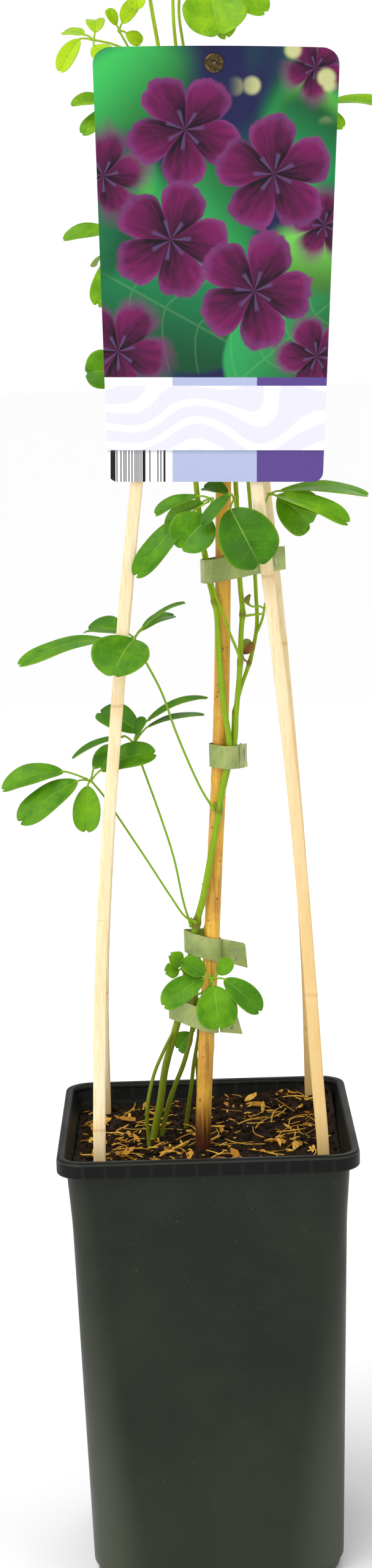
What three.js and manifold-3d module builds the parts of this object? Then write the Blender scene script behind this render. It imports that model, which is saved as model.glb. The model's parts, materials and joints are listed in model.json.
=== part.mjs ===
// A potted five-leaf akebia: a young twining climber in a tall square nursery pot, tied to a
// bamboo cane inside four split-bamboo slats that meet at one rivet, with a card label.
// Millimetres, +Z up. The origin is the centre of the pot's underside; -Y is the front.
import * as THREE from 'three';
import { mergeVertices } from 'three/addons/utils/BufferGeometryUtils.js';
import Module from 'manifold-3d';

const wasm = await Module();
wasm.setup();

// Driving dimensions
const POT_HEIGHT = 198;
const POT_RIM_WIDTH = 130;
const POT_FOOT_WIDTH = 109;
const POT_WALL = 1.6;
const RIM_SKIRT = 7.2;
const SOIL_Z = 187;
const CANE_RADIUS = 3.5;
const SLAT_WIDTH = 5.3;
const SLAT_THICK = 2.6;
const BLADE_THICK = 0.6;
const LABEL_THICK = 0.7;
const TAPE_HEIGHT = 10;
const TAPE_THICK = 0.5;
const GAP = 0.35;
const SEED = 41;

const object = new THREE.Group();
const at = (p) => new THREE.Vector3(p[0], p[1], p[2]);

// Mulberry32, so that every draw of the soil's chips is the same each time
let seedState = SEED;
function draw(low, high) {
  seedState = (seedState + 0x6d2b79f5) | 0;
  let t = Math.imul(seedState ^ (seedState >>> 15), 1 | seedState);
  t = (t + Math.imul(t ^ (t >>> 7), 61 | t)) ^ t;
  const unit = ((t ^ (t >>> 14)) >>> 0) / 4294967296;
  return low + (high - low) * unit;
}

// Closed meshes to solids and back
function toSolid(geometry) {
  const bare = geometry.clone();
  bare.deleteAttribute('normal');
  bare.deleteAttribute('uv');
  const merged = mergeVertices(bare, 1e-4);
  const mesh = new wasm.Mesh({
    numProp: 3,
    vertProperties: new Float32Array(merged.attributes.position.array),
    triVerts: new Uint32Array(merged.index.array),
  });
  return new wasm.Manifold(mesh);
}

function toGeometry(solid) {
  const mesh = solid.getMesh();
  const geometry = new THREE.BufferGeometry();
  geometry.setAttribute('position', new THREE.BufferAttribute(new Float32Array(mesh.vertProperties), 3));
  geometry.setIndex(new THREE.BufferAttribute(new Uint32Array(mesh.triVerts), 1));
  geometry.computeVertexNormals();
  return geometry;
}

function joined(geometries) {
  let solid = toSolid(geometries[0]);
  for (const geometry of geometries.slice(1)) {
    solid = solid.add(toSolid(geometry));
  }
  return toGeometry(solid);
}

function place(name, geometry, color, roughness, metalness = 0) {
  const material = new THREE.MeshStandardMaterial({ color, roughness, metalness });
  const mesh = new THREE.Mesh(geometry, material);
  mesh.name = name;
  object.add(mesh);
}

function indexed(points, triangles) {
  const geometry = new THREE.BufferGeometry();
  const flat = points.flatMap((p) => [p.x, p.y, p.z]);
  geometry.setAttribute('position', new THREE.Float32BufferAttribute(flat, 3));
  geometry.setIndex(triangles);
  geometry.computeVertexNormals();
  return geometry;
}

// Rings of equal length, skinned in order and closed by a fan at each end; counter-clockwise rings
// that go up the way the skin grows face outward
function loft(rings) {
  const n = rings[0].length;
  const points = rings.flat();
  const triangles = [];
  for (let r = 0; r < rings.length - 1; r += 1) {
    for (let i = 0; i < n; i += 1) {
      const j = (i + 1) % n;
      const [a, b] = [r * n + i, r * n + j];
      triangles.push(a, b, b + n, a, b + n, a + n);
    }
  }
  for (const [ring, first] of [[rings[0], 0], [rings[rings.length - 1], (rings.length - 1) * n]]) {
    const centre = new THREE.Vector3();
    ring.forEach((p) => centre.addScaledVector(p, 1 / n));
    points.push(centre);
    const c = points.length - 1;
    for (let i = 0; i < n; i += 1) {
      const j = (i + 1) % n;
      if (first === 0) {
        triangles.push(c, first + j, first + i);
      } else {
        triangles.push(c, first + i, first + j);
      }
    }
  }
  return indexed(points, triangles);
}

// A round stem through hand-placed points, tapering from one radius to another
function stem(points, radiusStart, radiusEnd, sides = 6, steps = points.length * 2) {
  const curve = new THREE.CatmullRomCurve3(points.map(at), false, 'centripetal');
  const frames = curve.computeFrenetFrames(steps, false);
  const rings = [];
  for (let s = 0; s <= steps; s += 1) {
    const centre = curve.getPointAt(s / steps);
    const radius = THREE.MathUtils.lerp(radiusStart, radiusEnd, s / steps);
    rings.push(Array.from({ length: sides }, (_, i) => {
      const angle = (i / sides) * 2 * Math.PI;
      return centre.clone()
        .addScaledVector(frames.normals[s], radius * Math.cos(angle))
        .addScaledVector(frames.binormals[s], radius * Math.sin(angle));
    }));
  }
  return loft(rings);
}

// The point of a path, given as points that rise, at one height
function pathAt(points, z) {
  let i = 0;
  while (i < points.length - 2 && points[i + 1][2] < z) {
    i += 1;
  }
  const [a, b] = [points[i], points[i + 1]];
  const t = (z - a[2]) / (b[2] - a[2]);
  return [a[0] + (b[0] - a[0]) * t, a[1] + (b[1] - a[1]) * t, z];
}

// Pot: a square section with rounded corners that tapers down, with a skirted rim
const CORNER_STEPS = 4;

function roundedSquare(width, corner, z) {
  const points = [];
  for (let quarter = 0; quarter < 4; quarter += 1) {
    const turn = (quarter * Math.PI) / 2;
    for (let s = 0; s <= CORNER_STEPS; s += 1) {
      const angle = turn + (s / CORNER_STEPS) * (Math.PI / 2);
      const [cx, cy] = [Math.cos(turn + Math.PI / 4), Math.sin(turn + Math.PI / 4)];
      const inset = (width / 2 - corner) * Math.SQRT2;
      points.push(new THREE.Vector3(
        cx * inset + corner * Math.cos(angle),
        cy * inset + corner * Math.sin(angle),
        z,
      ));
    }
  }
  return points;
}

const POT_BODY_TOP = 121.6;
const potWidthAt = (z) => THREE.MathUtils.lerp(POT_FOOT_WIDTH + 2, POT_BODY_TOP, z / (POT_HEIGHT - RIM_SKIRT));
const potCornerAt = (z) => THREE.MathUtils.lerp(25, 9, z / (POT_HEIGHT - RIM_SKIRT));

function pot() {
  const skirtZ = POT_HEIGHT - RIM_SKIRT;
  const outer = loft([
    roundedSquare(POT_FOOT_WIDTH - 3, 24, 0),
    roundedSquare(POT_FOOT_WIDTH - 0.6, 25, 1.2),
    roundedSquare(POT_FOOT_WIDTH, 25, 5),
    roundedSquare(potWidthAt(6.2), potCornerAt(6.2), 6.2),
    roundedSquare(POT_BODY_TOP, 9, skirtZ),
    roundedSquare(POT_RIM_WIDTH - 0.8, 11.6, skirtZ),
    roundedSquare(POT_RIM_WIDTH, 12, skirtZ + 0.8),
    roundedSquare(POT_RIM_WIDTH, 12, POT_HEIGHT - 1.6),
    roundedSquare(POT_RIM_WIDTH - 1.6, 11.2, POT_HEIGHT),
  ]);
  const inner = loft([
    roundedSquare(potWidthAt(4) - 2 * POT_WALL, potCornerAt(4) - 1, 2.4),
    roundedSquare(POT_BODY_TOP - 2 * POT_WALL, 8, skirtZ - 1),
    roundedSquare(POT_RIM_WIDTH - 7.6, 9, POT_HEIGHT - 3),
    roundedSquare(POT_RIM_WIDTH - 7, 9, POT_HEIGHT + 2),
  ]);
  let solid = toSolid(outer).subtract(toSolid(inner));
  // Hollow under the skirt, open downward as on a moulded rim
  const skirtOut = loft([
    roundedSquare(POT_RIM_WIDTH - 2.6, 10.6, skirtZ - 1),
    roundedSquare(POT_RIM_WIDTH - 2.6, 10.6, POT_HEIGHT - 1.8),
  ]);
  const skirtIn = loft([
    roundedSquare(POT_BODY_TOP + 0.2, 9.1, skirtZ - 2),
    roundedSquare(POT_BODY_TOP + 1.4, 9.4, POT_HEIGHT),
  ]);
  solid = solid.subtract(toSolid(skirtOut).subtract(toSolid(skirtIn)));
  // Drainage holes in a ring round a solid middle
  for (let i = 0; i < 8; i += 1) {
    const angle = (i / 8) * 2 * Math.PI + Math.PI / 8;
    const hole = new THREE.CylinderGeometry(4, 4, 12, 10);
    hole.rotateX(Math.PI / 2);
    hole.translate(36 * Math.cos(angle), 36 * Math.sin(angle), 1);
    solid = solid.subtract(toSolid(hole));
  }
  return toGeometry(solid);
}

// Paths of everything that stands in the soil; each is a list of points placed by hand
const CANE_PATH = [
  [-3.4, -13.6, 62], [-2.8, -13, 116], [-2.3, -12.5, 160], [-2, -12.2, 187], [1, -11.7, 237], [4, -11.2, 274], [7.1, -10.6, 319],
  [10.9, -9.9, 372], [13.3, -9.2, 425], [15, -8.4, 477], [17.4, -7.2, 545], [18.2, -6.8, 572],
];
const SLAT_PATHS = {
  slat_front_left: [
    [-47.4, -46.6, 150], [-46.7, -45.4, 193], [-45.4, -42.4, 234], [-43.7, -39.7, 271],
    [-39.6, -35.9, 324], [-35.6, -33, 363], [-28.7, -28.3, 428], [-22.1, -24.8, 479],
    [-14, -22.4, 530], [-2.6, -19.6, 590], [15.7, -16.6, 653.7], [17.8, -16.4, 659.4],
  ],
  slat_front_right: [
    [50.6, -46.6, 150], [49.8, -45.4, 193], [47.8, -42.8, 229], [45.9, -39.9, 269],
    [42.9, -36.1, 322], [38.9, -32.2, 374], [34, -28.4, 426], [29.1, -24.8, 478],
    [24.8, -21.4, 530], [20.6, -17.6, 590], [15.7, -13.7, 653.7], [15.2, -13.6, 659.4],
  ],
  slat_rear_right: [
    [49.4, 50.2, 150], [49, 49, 189], [48.4, 42, 250], [46.1, 34.6, 309], [42.4, 27.4, 365],
    [38.3, 20.2, 421], [36.2, 17, 446], [30.4, 9.4, 510], [23.8, 0.4, 580], [15.7, -10.8, 653.7],
    [15.1, -10.7, 659.4],
  ],
  slat_rear_left: [
    [-47.2, 50.2, 150], [-46.7, 49, 189], [-45.6, 42, 250], [-41.4, 34.6, 309], [-36, 27.4, 365],
    [-29.6, 20.6, 421], [-19.4, 12, 500], [-6, 3.4, 575], [15.7, -7.9, 653.7], [17.6, -7.8, 659.4],
  ],
};
const MAIN_STEM = [
  [-24.5, 0.5, 172], [-24, 3, 187], [-20.4, 0.4, 205], [-17.6, -2.4, 222], [-13.4, -4.4, 237],
  [-9.4, -6, 251], [-6.4, -8, 264], [-4.2, -9.6, 278], [-1.8, -12.6, 290], [1, -15.2, 300],
  [3.2, -16.4, 310], [5.2, -17, 320], [8, -17, 333], [10.3, -16.6, 346], [12.8, -16, 357],
  [14.4, -15.4, 363.5], [14.4, -15.4, 371], [13.2, -15.8, 380], [12, -16, 392], [11, -15.6, 411],
  [10.4, -15, 427], [8.2, -12.8, 437], [6.4, -10.6, 448], [3.4, -9, 480], [1.4, -9.4, 530],
  [-0.6, -9.6, 580], [-3, -9, 620], [-6.8, -5.4, 660], [-9.4, -3, 678], [-11.6, -2.6, 698],
  [-10.6, -1, 724],
];
const MAIN_BRANCH_RIGHT = [
  [14.2, -15.4, 361], [16.8, -13.8, 369], [17.8, -13.2, 381], [20, -12.2, 401], [21, -11.2, 417],
  [21.8, -10.2, 425], [21.2, -9.2, 435], [20.8, -8.2, 446], [20.4, -5, 480], [16.6, 0.6, 530],
  [11.6, 3.6, 580], [6.6, 3.6, 625], [0.4, 1.2, 662], [-0.4, 1, 684], [2, 2, 704], [5.4, 3, 726],
];
const MAIN_BRANCH_THIN = [
  [20.2, -12.1, 403], [19.6, -14.2, 407], [16.6, -18, 415], [12.8, -18.6, 426], [9.4, -17.4, 437],
  [6.8, -15.6, 452],
];
const TWIG_ON_BRANCH = [[21.6, -10.6, 423], [25, -11.6, 423.6], [30, -11.8, 424]];
const TWIG_ON_SECOND = [[27.4, -2.8, 414], [30.4, -4, 421], [31.8, -4.6, 428]];
const SHOOT_FRONT = [
  [-26.4, -8, 172], [-26, -5.6, 188], [-26.2, -9.6, 205], [-22.6, -9.4, 221], [-18, -7.6, 231],
  [-12.4, -4.9, 241],
];
const SECOND_STEM = [
  [-21, 6, 172], [-20.6, 5.4, 187], [-14.4, 2.6, 210], [-9.4, 0.2, 223], [-5.6, -2.2, 237],
  [-3.6, -3.2, 249], [-2.4, -3.4, 262], [-0.6, -3.6, 277], [4, -4.4, 292], [6.6, -4, 317],
  [10.4, -3.4, 341], [13.6, -5, 354], [15.8, -7.6, 363.5], [16.4, -7.4, 371], [17.4, -4.6, 381],
  [20.6, -3.6, 392], [25, -3.2, 404], [28, -2.4, 418], [28, -2, 432], [27.6, -1.6, 446],
  [26, 2.4, 480], [21.4, 6.6, 530], [15.2, 8.6, 580], [9, 7.6, 630], [3.4, 5.6, 664],
  [2, 4.8, 680], [5.4, 6.6, 698],
];
const SHOOT_BEHIND = [
  [-19.6, 15, 172], [-19.4, 13.6, 188], [-16.6, 9.2, 204], [-12, 3.6, 216], [-9.2, 0.2, 224],
];
const THIRD_STEM = [
  [-9.6, 19, 172], [-9.4, 17.6, 187], [-6.6, 9.4, 208], [-4.8, 5.2, 222], [-2.4, 2.6, 235],
  [-0.8, 1, 249], [1.2, 0.8, 264], [2.4, 0.6, 277], [2.8, 1.4, 292], [1.6, 3, 304],
];
const THIRD_SHOOT = [
  [-3.6, 22, 172], [-3.8, 20.4, 188], [-3.4, 12.6, 206], [-3.6, 6.4, 220], [-3.8, 4, 228],
];

// Each stem tapers from its foot to its tip
const MAIN = { path: MAIN_STEM, thick: 1.7, thin: 0.7 };
const BRANCH = { path: MAIN_BRANCH_RIGHT, thick: 1.2, thin: 0.6 };
const SECOND = { path: SECOND_STEM, thick: 1.1, thin: 0.6 };
const THIRD = { path: THIRD_STEM, thick: 1, thin: 0.6 };

// The soil lies lowest in the middle and is heaped towards the back, most to the right
function soilTop(x, y) {
  const back = Math.max(y, 0) / (POT_BODY_TOP / 2);
  return SOIL_Z + 4.6 * back + 1.6 * back * (x / 60) + 1.2 * Math.max(-y - 20, 0) / 40;
}

// Soil: a block that fills the pot to a rough top, with chips pressed into it and plain holes for
// what stands in it
function soil() {
  const inset = 2 * POT_WALL + 2 * GAP;
  const ring = (z) => roundedSquare(potWidthAt(z) - inset, potCornerAt(z) - 1.2, z);
  const cells = 9;
  const solidBlock = toSolid(loft([ring(3), ring(POT_HEIGHT - RIM_SKIRT - 1), ring(POT_HEIGHT - 2)]));
  const half = POT_BODY_TOP / 2 + 4;
  const points = [];
  const triangles = [];
  const row = cells + 1;
  for (const layer of [0, 1]) {
    for (let j = 0; j < row; j += 1) {
      for (let i = 0; i < row; i += 1) {
        const [x, y] = [-half + (2 * half * i) / cells, -half + (2 * half * j) / cells];
        const top = soilTop(x, y) + draw(-0.8, 0.8);
        points.push(new THREE.Vector3(x, y, layer === 0 ? -4 : top));
      }
    }
  }
  for (let j = 0; j < cells; j += 1) {
    for (let i = 0; i < cells; i += 1) {
      const a = j * row + i;
      const t = a + row * row;
      triangles.push(a, a + row, a + row + 1, a, a + row + 1, a + 1);
      triangles.push(t, t + 1, t + row + 1, t, t + row + 1, t + row);
    }
  }
  for (let i = 0; i < cells; i += 1) {
    const sides = [
      [i, i + 1],
      [cells * row + i + 1, cells * row + i],
      [(i + 1) * row, i * row],
      [i * row + cells, (i + 1) * row + cells],
    ];
    for (const [a, b] of sides) {
      triangles.push(a, b, b + row * row, a, b + row * row, a + row * row);
    }
  }
  let solid = solidBlock.intersect(toSolid(indexed(points, triangles)));
  for (let i = 0; i < 24; i += 1) {
    const long = draw(5, 13);
    const chip = new THREE.BoxGeometry(long, draw(1.6, 3.6), draw(1.4, 2.6));
    chip.rotateX(draw(-0.5, 0.5));
    chip.rotateY(draw(-0.35, 0.35));
    chip.rotateZ(draw(0, Math.PI));
    const spread = POT_BODY_TOP / 2 - 12;
    const [x, y] = [draw(-spread, spread), draw(-spread, spread)];
    chip.translate(x, y, soilTop(x, y) + draw(-0.5, 0.8));
    solid = solid.add(toSolid(chip));
  }
  const bores = [
    [CANE_PATH, CANE_RADIUS + GAP, 10, 58], [MAIN_STEM, 2.3, 6, 170], [SHOOT_FRONT, 1.6, 6, 170],
    [SECOND_STEM, 1.8, 6, 170], [SHOOT_BEHIND, 1.5, 6, 170], [THIRD_STEM, 1.7, 6, 170],
    [THIRD_SHOOT, 1.5, 6, 170],
  ];
  for (const [path, radius, sides, bottom] of bores) {
    const low = pathAt(path, bottom);
    const line = [low, ...path.filter((p) => p[2] > bottom + 4 && p[2] < SOIL_Z + 12)];
    line.push(pathAt(path, SOIL_Z + 14));
    solid = solid.subtract(toSolid(stem(line, radius, radius, sides, line.length * 2)));
  }
  for (const path of Object.values(SLAT_PATHS)) {
    solid = solid.subtract(toSolid(slatBody(path, GAP, 1.4)));
  }
  const pieces = solid.decompose();
  pieces.sort((a, b) => b.volume() - a.volume());
  return toGeometry(pieces[0]);
}

// A split-bamboo slat: a flat strip whose faces look to the front and back all along
function slatBody(path, grow = 0, lower = 0) {
  const curve = new THREE.CatmullRomCurve3(path.map(at), false, 'centripetal');
  const steps = 10;
  const w = SLAT_WIDTH / 2 + grow;
  const t = SLAT_THICK / 2 + grow;
  const c = 0.6;
  const outline = [[-w, -t + c], [-w + c, -t], [w - c, -t], [w, -t + c], [w, t - c], [w - c, t],
    [-w + c, t], [-w, t - c]];
  const rings = [];
  for (let s = 0; s <= steps; s += 1) {
    const p = curve.getPointAt(s / steps);
    const z = s === 0 ? p.z - lower : p.z;
    rings.push(outline.map(([x, y]) => new THREE.Vector3(p.x + x, p.y + y, z)));
  }
  return loft(rings);
}

// Rivet: a tubular eyelet that runs front to back through the label and the four slats
const RIVET = {
  x: 15.7, z: 653.7, shank: 1.5, bore: 0.9, head: 4, headThick: 0.9, front: -19.4, back: -5.1,
};

function boreAtRivet(radius) {
  const hole = new THREE.CylinderGeometry(radius, radius, 60, 12);
  hole.translate(RIVET.x, -14, RIVET.z);
  return toSolid(hole);
}

function rivet() {
  const { shank, bore, head, headThick, front, back } = RIVET;
  const profile = [
    [bore, front - headThick * 0.6], [bore + 0.7, front - headThick], [head - 0.8, front - headThick],
    [head, front - headThick * 0.4], [head, front], [shank, front], [shank, back], [head - 0.9, back],
    [head - 0.9, back + headThick * 0.5], [shank + 0.6, back + headThick],
    [bore, back + headThick * 0.6], [bore, front - headThick * 0.6],
  ];
  const ring = new THREE.LatheGeometry(profile.map(([r, y]) => new THREE.Vector2(r, y)), 12);
  ring.translate(RIVET.x, 0, RIVET.z);
  return toGeometry(toSolid(ring));
}

function slat(name, path) {
  const solid = toSolid(slatBody(path)).subtract(boreAtRivet(RIVET.shank + GAP));
  place(name, toGeometry(solid), 0xf0d9a8, 0.7);
}

// Label: a thin card, a little wider at its top, that hangs on the rivet and leans on the front slats
const LABEL = {
  left: -50.4, right: 52.2, top: 6.2, footLeft: -44.2, footRight: 46, bottom: -172.2,
  topRound: 7, footRound: 4, arch: 0.8, tilt: -0.0486, roll: THREE.MathUtils.degToRad(1.7), back: -18.25,
};

function label() {
  const { left, right, top, footLeft, footRight, bottom, topRound, footRound, arch } = LABEL;
  const shape = new THREE.Shape();
  shape.moveTo(footLeft + footRound, bottom);
  shape.lineTo(footRight - footRound, bottom);
  shape.quadraticCurveTo(footRight, bottom, footRight + 0.1, bottom + footRound);
  shape.lineTo(right - 0.2, top - topRound);
  shape.quadraticCurveTo(right, top, right - topRound, top);
  shape.quadraticCurveTo((left + right) / 2, top + 2 * arch, left + topRound, top);
  shape.quadraticCurveTo(left, top, left + 0.2, top - topRound);
  shape.lineTo(footLeft - 0.1, bottom + footRound);
  shape.quadraticCurveTo(footLeft, bottom, footLeft + footRound, bottom);
  const hole = new THREE.Path();
  hole.absarc(0, 0, RIVET.shank + GAP + 0.1, 0, 2 * Math.PI, true);
  shape.holes.push(hole);
  const card = new THREE.ExtrudeGeometry(shape, { depth: LABEL_THICK, bevelEnabled: false, curveSegments: 6 });
  card.rotateX(Math.PI / 2);
  card.rotateX(LABEL.tilt);
  card.rotateY(LABEL.roll);
  card.translate(RIVET.x, LABEL.back, RIVET.z);
  return toGeometry(toSolid(card));
}

// Ties: a band of soft tape drawn round everything that passes at its height, its two tails laid
// together to one side and held by a wire staple
function hull(points) {
  const sorted = [...points].sort((a, b) => a[0] - b[0] || a[1] - b[1]);
  const turn = (o, a, b) => (a[0] - o[0]) * (b[1] - o[1]) - (a[1] - o[1]) * (b[0] - o[0]);
  const half = (list) => {
    const chain = [];
    for (const p of list) {
      while (chain.length > 1 && turn(chain[chain.length - 2], chain[chain.length - 1], p) < 0.02) {
        chain.pop();
      }
      chain.push(p);
    }
    chain.pop();
    return chain;
  };
  return [...half(sorted), ...half(sorted.reverse())];
}

function bandOutline(z, reach, members, clearance) {
  const points = [];
  for (const [path, radius] of members) {
    for (const height of [z - reach, z, z + reach]) {
      const [x, y] = pathAt(path, height);
      for (let i = 0; i < 8; i += 1) {
        const angle = (i / 8) * 2 * Math.PI;
        const r = (radius + clearance) / Math.cos(Math.PI / 8);
        points.push([x + r * Math.cos(angle), y + r * Math.sin(angle)]);
      }
    }
  }
  return hull(points);
}

function tie(index, { z, slope, members, tail, tailTurn, tailRise = 0, stapleAt }) {
  const reach = TAPE_HEIGHT / 2 + 10 * Math.abs(slope);
  const inner = bandOutline(z, reach, members, GAP);
  const outer = bandOutline(z, reach, members, GAP + TAPE_THICK);
  const shape = new THREE.Shape(outer.map(([x, y]) => new THREE.Vector2(x, y)));
  shape.holes.push(new THREE.Path(inner.map(([x, y]) => new THREE.Vector2(x, y))));
  const band = new THREE.ExtrudeGeometry(shape, { depth: TAPE_HEIGHT, bevelEnabled: false });
  band.translate(0, 0, z - TAPE_HEIGHT / 2);
  const root = outer.reduce((best, p) => (p[0] > best[0] ? p : best));
  const tailThick = 2 * TAPE_THICK + 0.1;
  const turned = new THREE.Matrix4().makeRotationZ(tailTurn).multiply(
    new THREE.Matrix4().makeRotationY(-tailRise),
  );
  const moved = new THREE.Matrix4().makeTranslation(root[0] - TAPE_THICK * 0.5, root[1], z);
  const seat = moved.multiply(turned);
  const flap = new THREE.BoxGeometry(tail, tailThick, TAPE_HEIGHT).translate(tail / 2, 0, 0);
  flap.applyMatrix4(seat);
  const wire = 0.5;
  const [crown, legs, bend] = [6, tailThick + 2 * GAP + 2 * wire, 2.2];
  const front = -tailThick / 2 - GAP - wire / 2;
  const box = (sx, sy, sz, px, py, pz) => new THREE.BoxGeometry(sx, sy, sz).translate(px, py, pz);
  const parts = [box(wire, wire, crown + wire, 0, front, 0)];
  const slots = [];
  for (const side of [-1, 1]) {
    parts.push(box(wire, legs, wire, 0, 0, (side * crown) / 2));
    parts.push(box(wire, wire, bend, 0, -front, side * (crown / 2 - bend / 2 + wire / 2)));
    slots.push(box(wire + 2 * GAP, 4 * tailThick, wire + 2 * GAP, 0, 0, (side * crown) / 2));
  }
  for (const piece of [...parts, ...slots]) {
    piece.translate(stapleAt, 0, 0).applyMatrix4(seat);
  }
  const centre = pathAt(CANE_PATH, z);
  const sheared = new THREE.Matrix4();
  sheared.elements[2] = slope;
  sheared.elements[14] = -slope * centre[0];
  let tape = toSolid(band).add(toSolid(flap));
  for (const slot of slots) {
    tape = tape.subtract(toSolid(slot));
  }
  const tapeGeometry = toGeometry(tape).applyMatrix4(sheared);
  place(`tie_${index}`, tapeGeometry, 0x92a562, 0.55);
  place(`staple_${index}`, joined(parts).applyMatrix4(sheared), 0x8f949a, 0.35, 1);
}

const TIES = [
  {
    z: 246, slope: -0.25, tail: 9.6, tailTurn: -0.12, tailRise: 0.2, stapleAt: 5.6,
    members: [[CANE_PATH, CANE_RADIUS], [MAIN_STEM, 1.6], [SECOND_STEM, 1.1], [THIRD_STEM, 0.9]],
  },
  {
    z: 278, slope: -0.25, tail: 11, tailTurn: -0.16, stapleAt: 6.6,
    members: [[CANE_PATH, CANE_RADIUS], [MAIN_STEM, 1.5], [SECOND_STEM, 1.1], [THIRD_STEM, 0.9]],
  },
  {
    z: 363, slope: -0.06, tail: 8, tailTurn: 1.2, stapleAt: 4.8,
    members: [
      [CANE_PATH, CANE_RADIUS], [MAIN_STEM, 1.4], [SECOND_STEM, 1.1], [MAIN_BRANCH_RIGHT, 1.2],
    ],
  },
  {
    z: 444, slope: 0.1, tail: 13, tailTurn: 0.5, stapleAt: 8,
    members: [
      [CANE_PATH, CANE_RADIUS], [MAIN_STEM, 1.3], [SECOND_STEM, 1.1], [MAIN_BRANCH_RIGHT, 1.1],
      [MAIN_BRANCH_THIN, 0.8],
    ],
  },
  {
    z: 540, slope: 0, tail: 10, tailTurn: 1.3, stapleAt: 6,
    members: [[CANE_PATH, CANE_RADIUS], [MAIN_STEM, 1.2], [SECOND_STEM, 1], [MAIN_BRANCH_RIGHT, 1]],
  },
];

// Leaflets: a thin stalk that widens into an oval blade, folded a little along its midrib, with a
// shallow notch at its tip; both faces are split into triangles alike
const BROAD_OUTLINE = [[0, 0.18], [0.15, 0.72], [0.44, 1], [0.74, 0.94], [0.93, 0.62], [1, 0.24]];
const SMALL_OUTLINE = [[0, 0.2], [0.28, 0.92], [0.76, 0.92], [1, 0.3]];
const SMALL_WIDTH = 9;
const NOTCH = 0.965;
const PETIOLE_RADIUS = 0.5;
const STALK_WIDTH = 0.9;
const HUB_RADIUS = 1.1;

function leaflet(hub, base, tip, width, face, wave) {
  const along = tip.clone().sub(base);
  const length = along.length();
  along.normalize();
  const side = along.clone().cross(face).normalize();
  const normal = side.clone().cross(along).normalize();
  const spread = (spine, half, lift, thick) => [-1, 0, 1].map((edge) => ({
    centre: spine.clone()
      .addScaledVector(side, edge * half)
      .addScaledVector(normal, edge === 0 ? 0 : lift(edge)),
    thick,
  }));
  const root = hub.clone().lerp(base, (HUB_RADIUS * 0.5) / hub.distanceTo(base));
  const grid = [...spread(root, STALK_WIDTH / 2, () => 0, STALK_WIDTH)];
  const outline = width > SMALL_WIDTH ? BROAD_OUTLINE : SMALL_OUTLINE;
  outline.forEach(([share, half], k) => {
    const arch = length * 0.07 * Math.sin(Math.PI * share) - length * 0.05 * share * share;
    const spine = base.clone().addScaledVector(along, length * share).addScaledVector(normal, arch);
    const lift = (edge) => width * 0.09 * half + width * 0.03 * Math.sin(wave + 5 * share * edge);
    const row = spread(spine, Math.max((half * width) / 2, STALK_WIDTH / 2), lift, BLADE_THICK);
    if (k === outline.length - 1) {
      row[1].centre.addScaledVector(along, length * (NOTCH - 1));
    }
    grid.push(...row);
  });
  const points = [1, -1].flatMap((sign) => grid.map(({ centre, thick }) => (
    centre.clone().addScaledVector(normal, (sign * thick) / 2)
  )));
  const count = grid.length;
  const triangles = [];
  const quad = (a, b, c, d) => triangles.push(a, b, c, a, c, d);
  for (let a = 0; a < count - 3; a += 3) {
    for (const p of [a, a + 1]) {
      const q = count + p;
      quad(p, p + 1, p + 4, p + 3);
      triangles.push(q, q + 4, q + 1, q, q + 3, q + 4);
    }
    quad(a, a + 3, count + a + 3, count + a);
    quad(a + 2, count + a + 2, count + a + 5, a + 5);
  }
  const end = count - 3;
  for (const p of [0, 1]) {
    quad(p, count + p, count + p + 1, p + 1);
    quad(end + p, end + p + 1, count + end + p + 1, count + end + p);
  }
  return indexed(points, triangles);
}

// A compound leaf: a thin petiole that starts beside its stem, and stalked leaflets from its end
function compoundLeaf(name, { on, z, turn, via, hub, leaflets, color }) {
  const { path, thick, thin } = on;
  const [x, y] = pathAt(path, z);
  const [foot, tipZ] = [path[0][2], path[path.length - 1][2]];
  const radius = THREE.MathUtils.lerp(thick, thin, (z - foot) / (tipZ - foot));
  const reach = radius + PETIOLE_RADIUS + 0.3 * GAP;
  const angle = THREE.MathUtils.degToRad(turn);
  const start = [x + reach * Math.cos(angle), y + reach * Math.sin(angle), z];
  const knot = new THREE.IcosahedronGeometry(HUB_RADIUS, 0).translate(...hub);
  const parts = [knot, stem([start, ...via, hub], PETIOLE_RADIUS, 0.45, 4, via.length * 2 + 1)];
  leaflets.forEach(([base, tip, width, face = [0, -0.5, 0.86]], k) => {
    parts.push(leaflet(at(hub), at(base), at(tip), width, at(face), k * 1.7));
  });
  place(name, joined(parts), color, 0.45);
}

const YOUNG = 0x8fb43c;
const GREEN = 0x4f9a28;
const DARK = 0x3d7a24;

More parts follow.
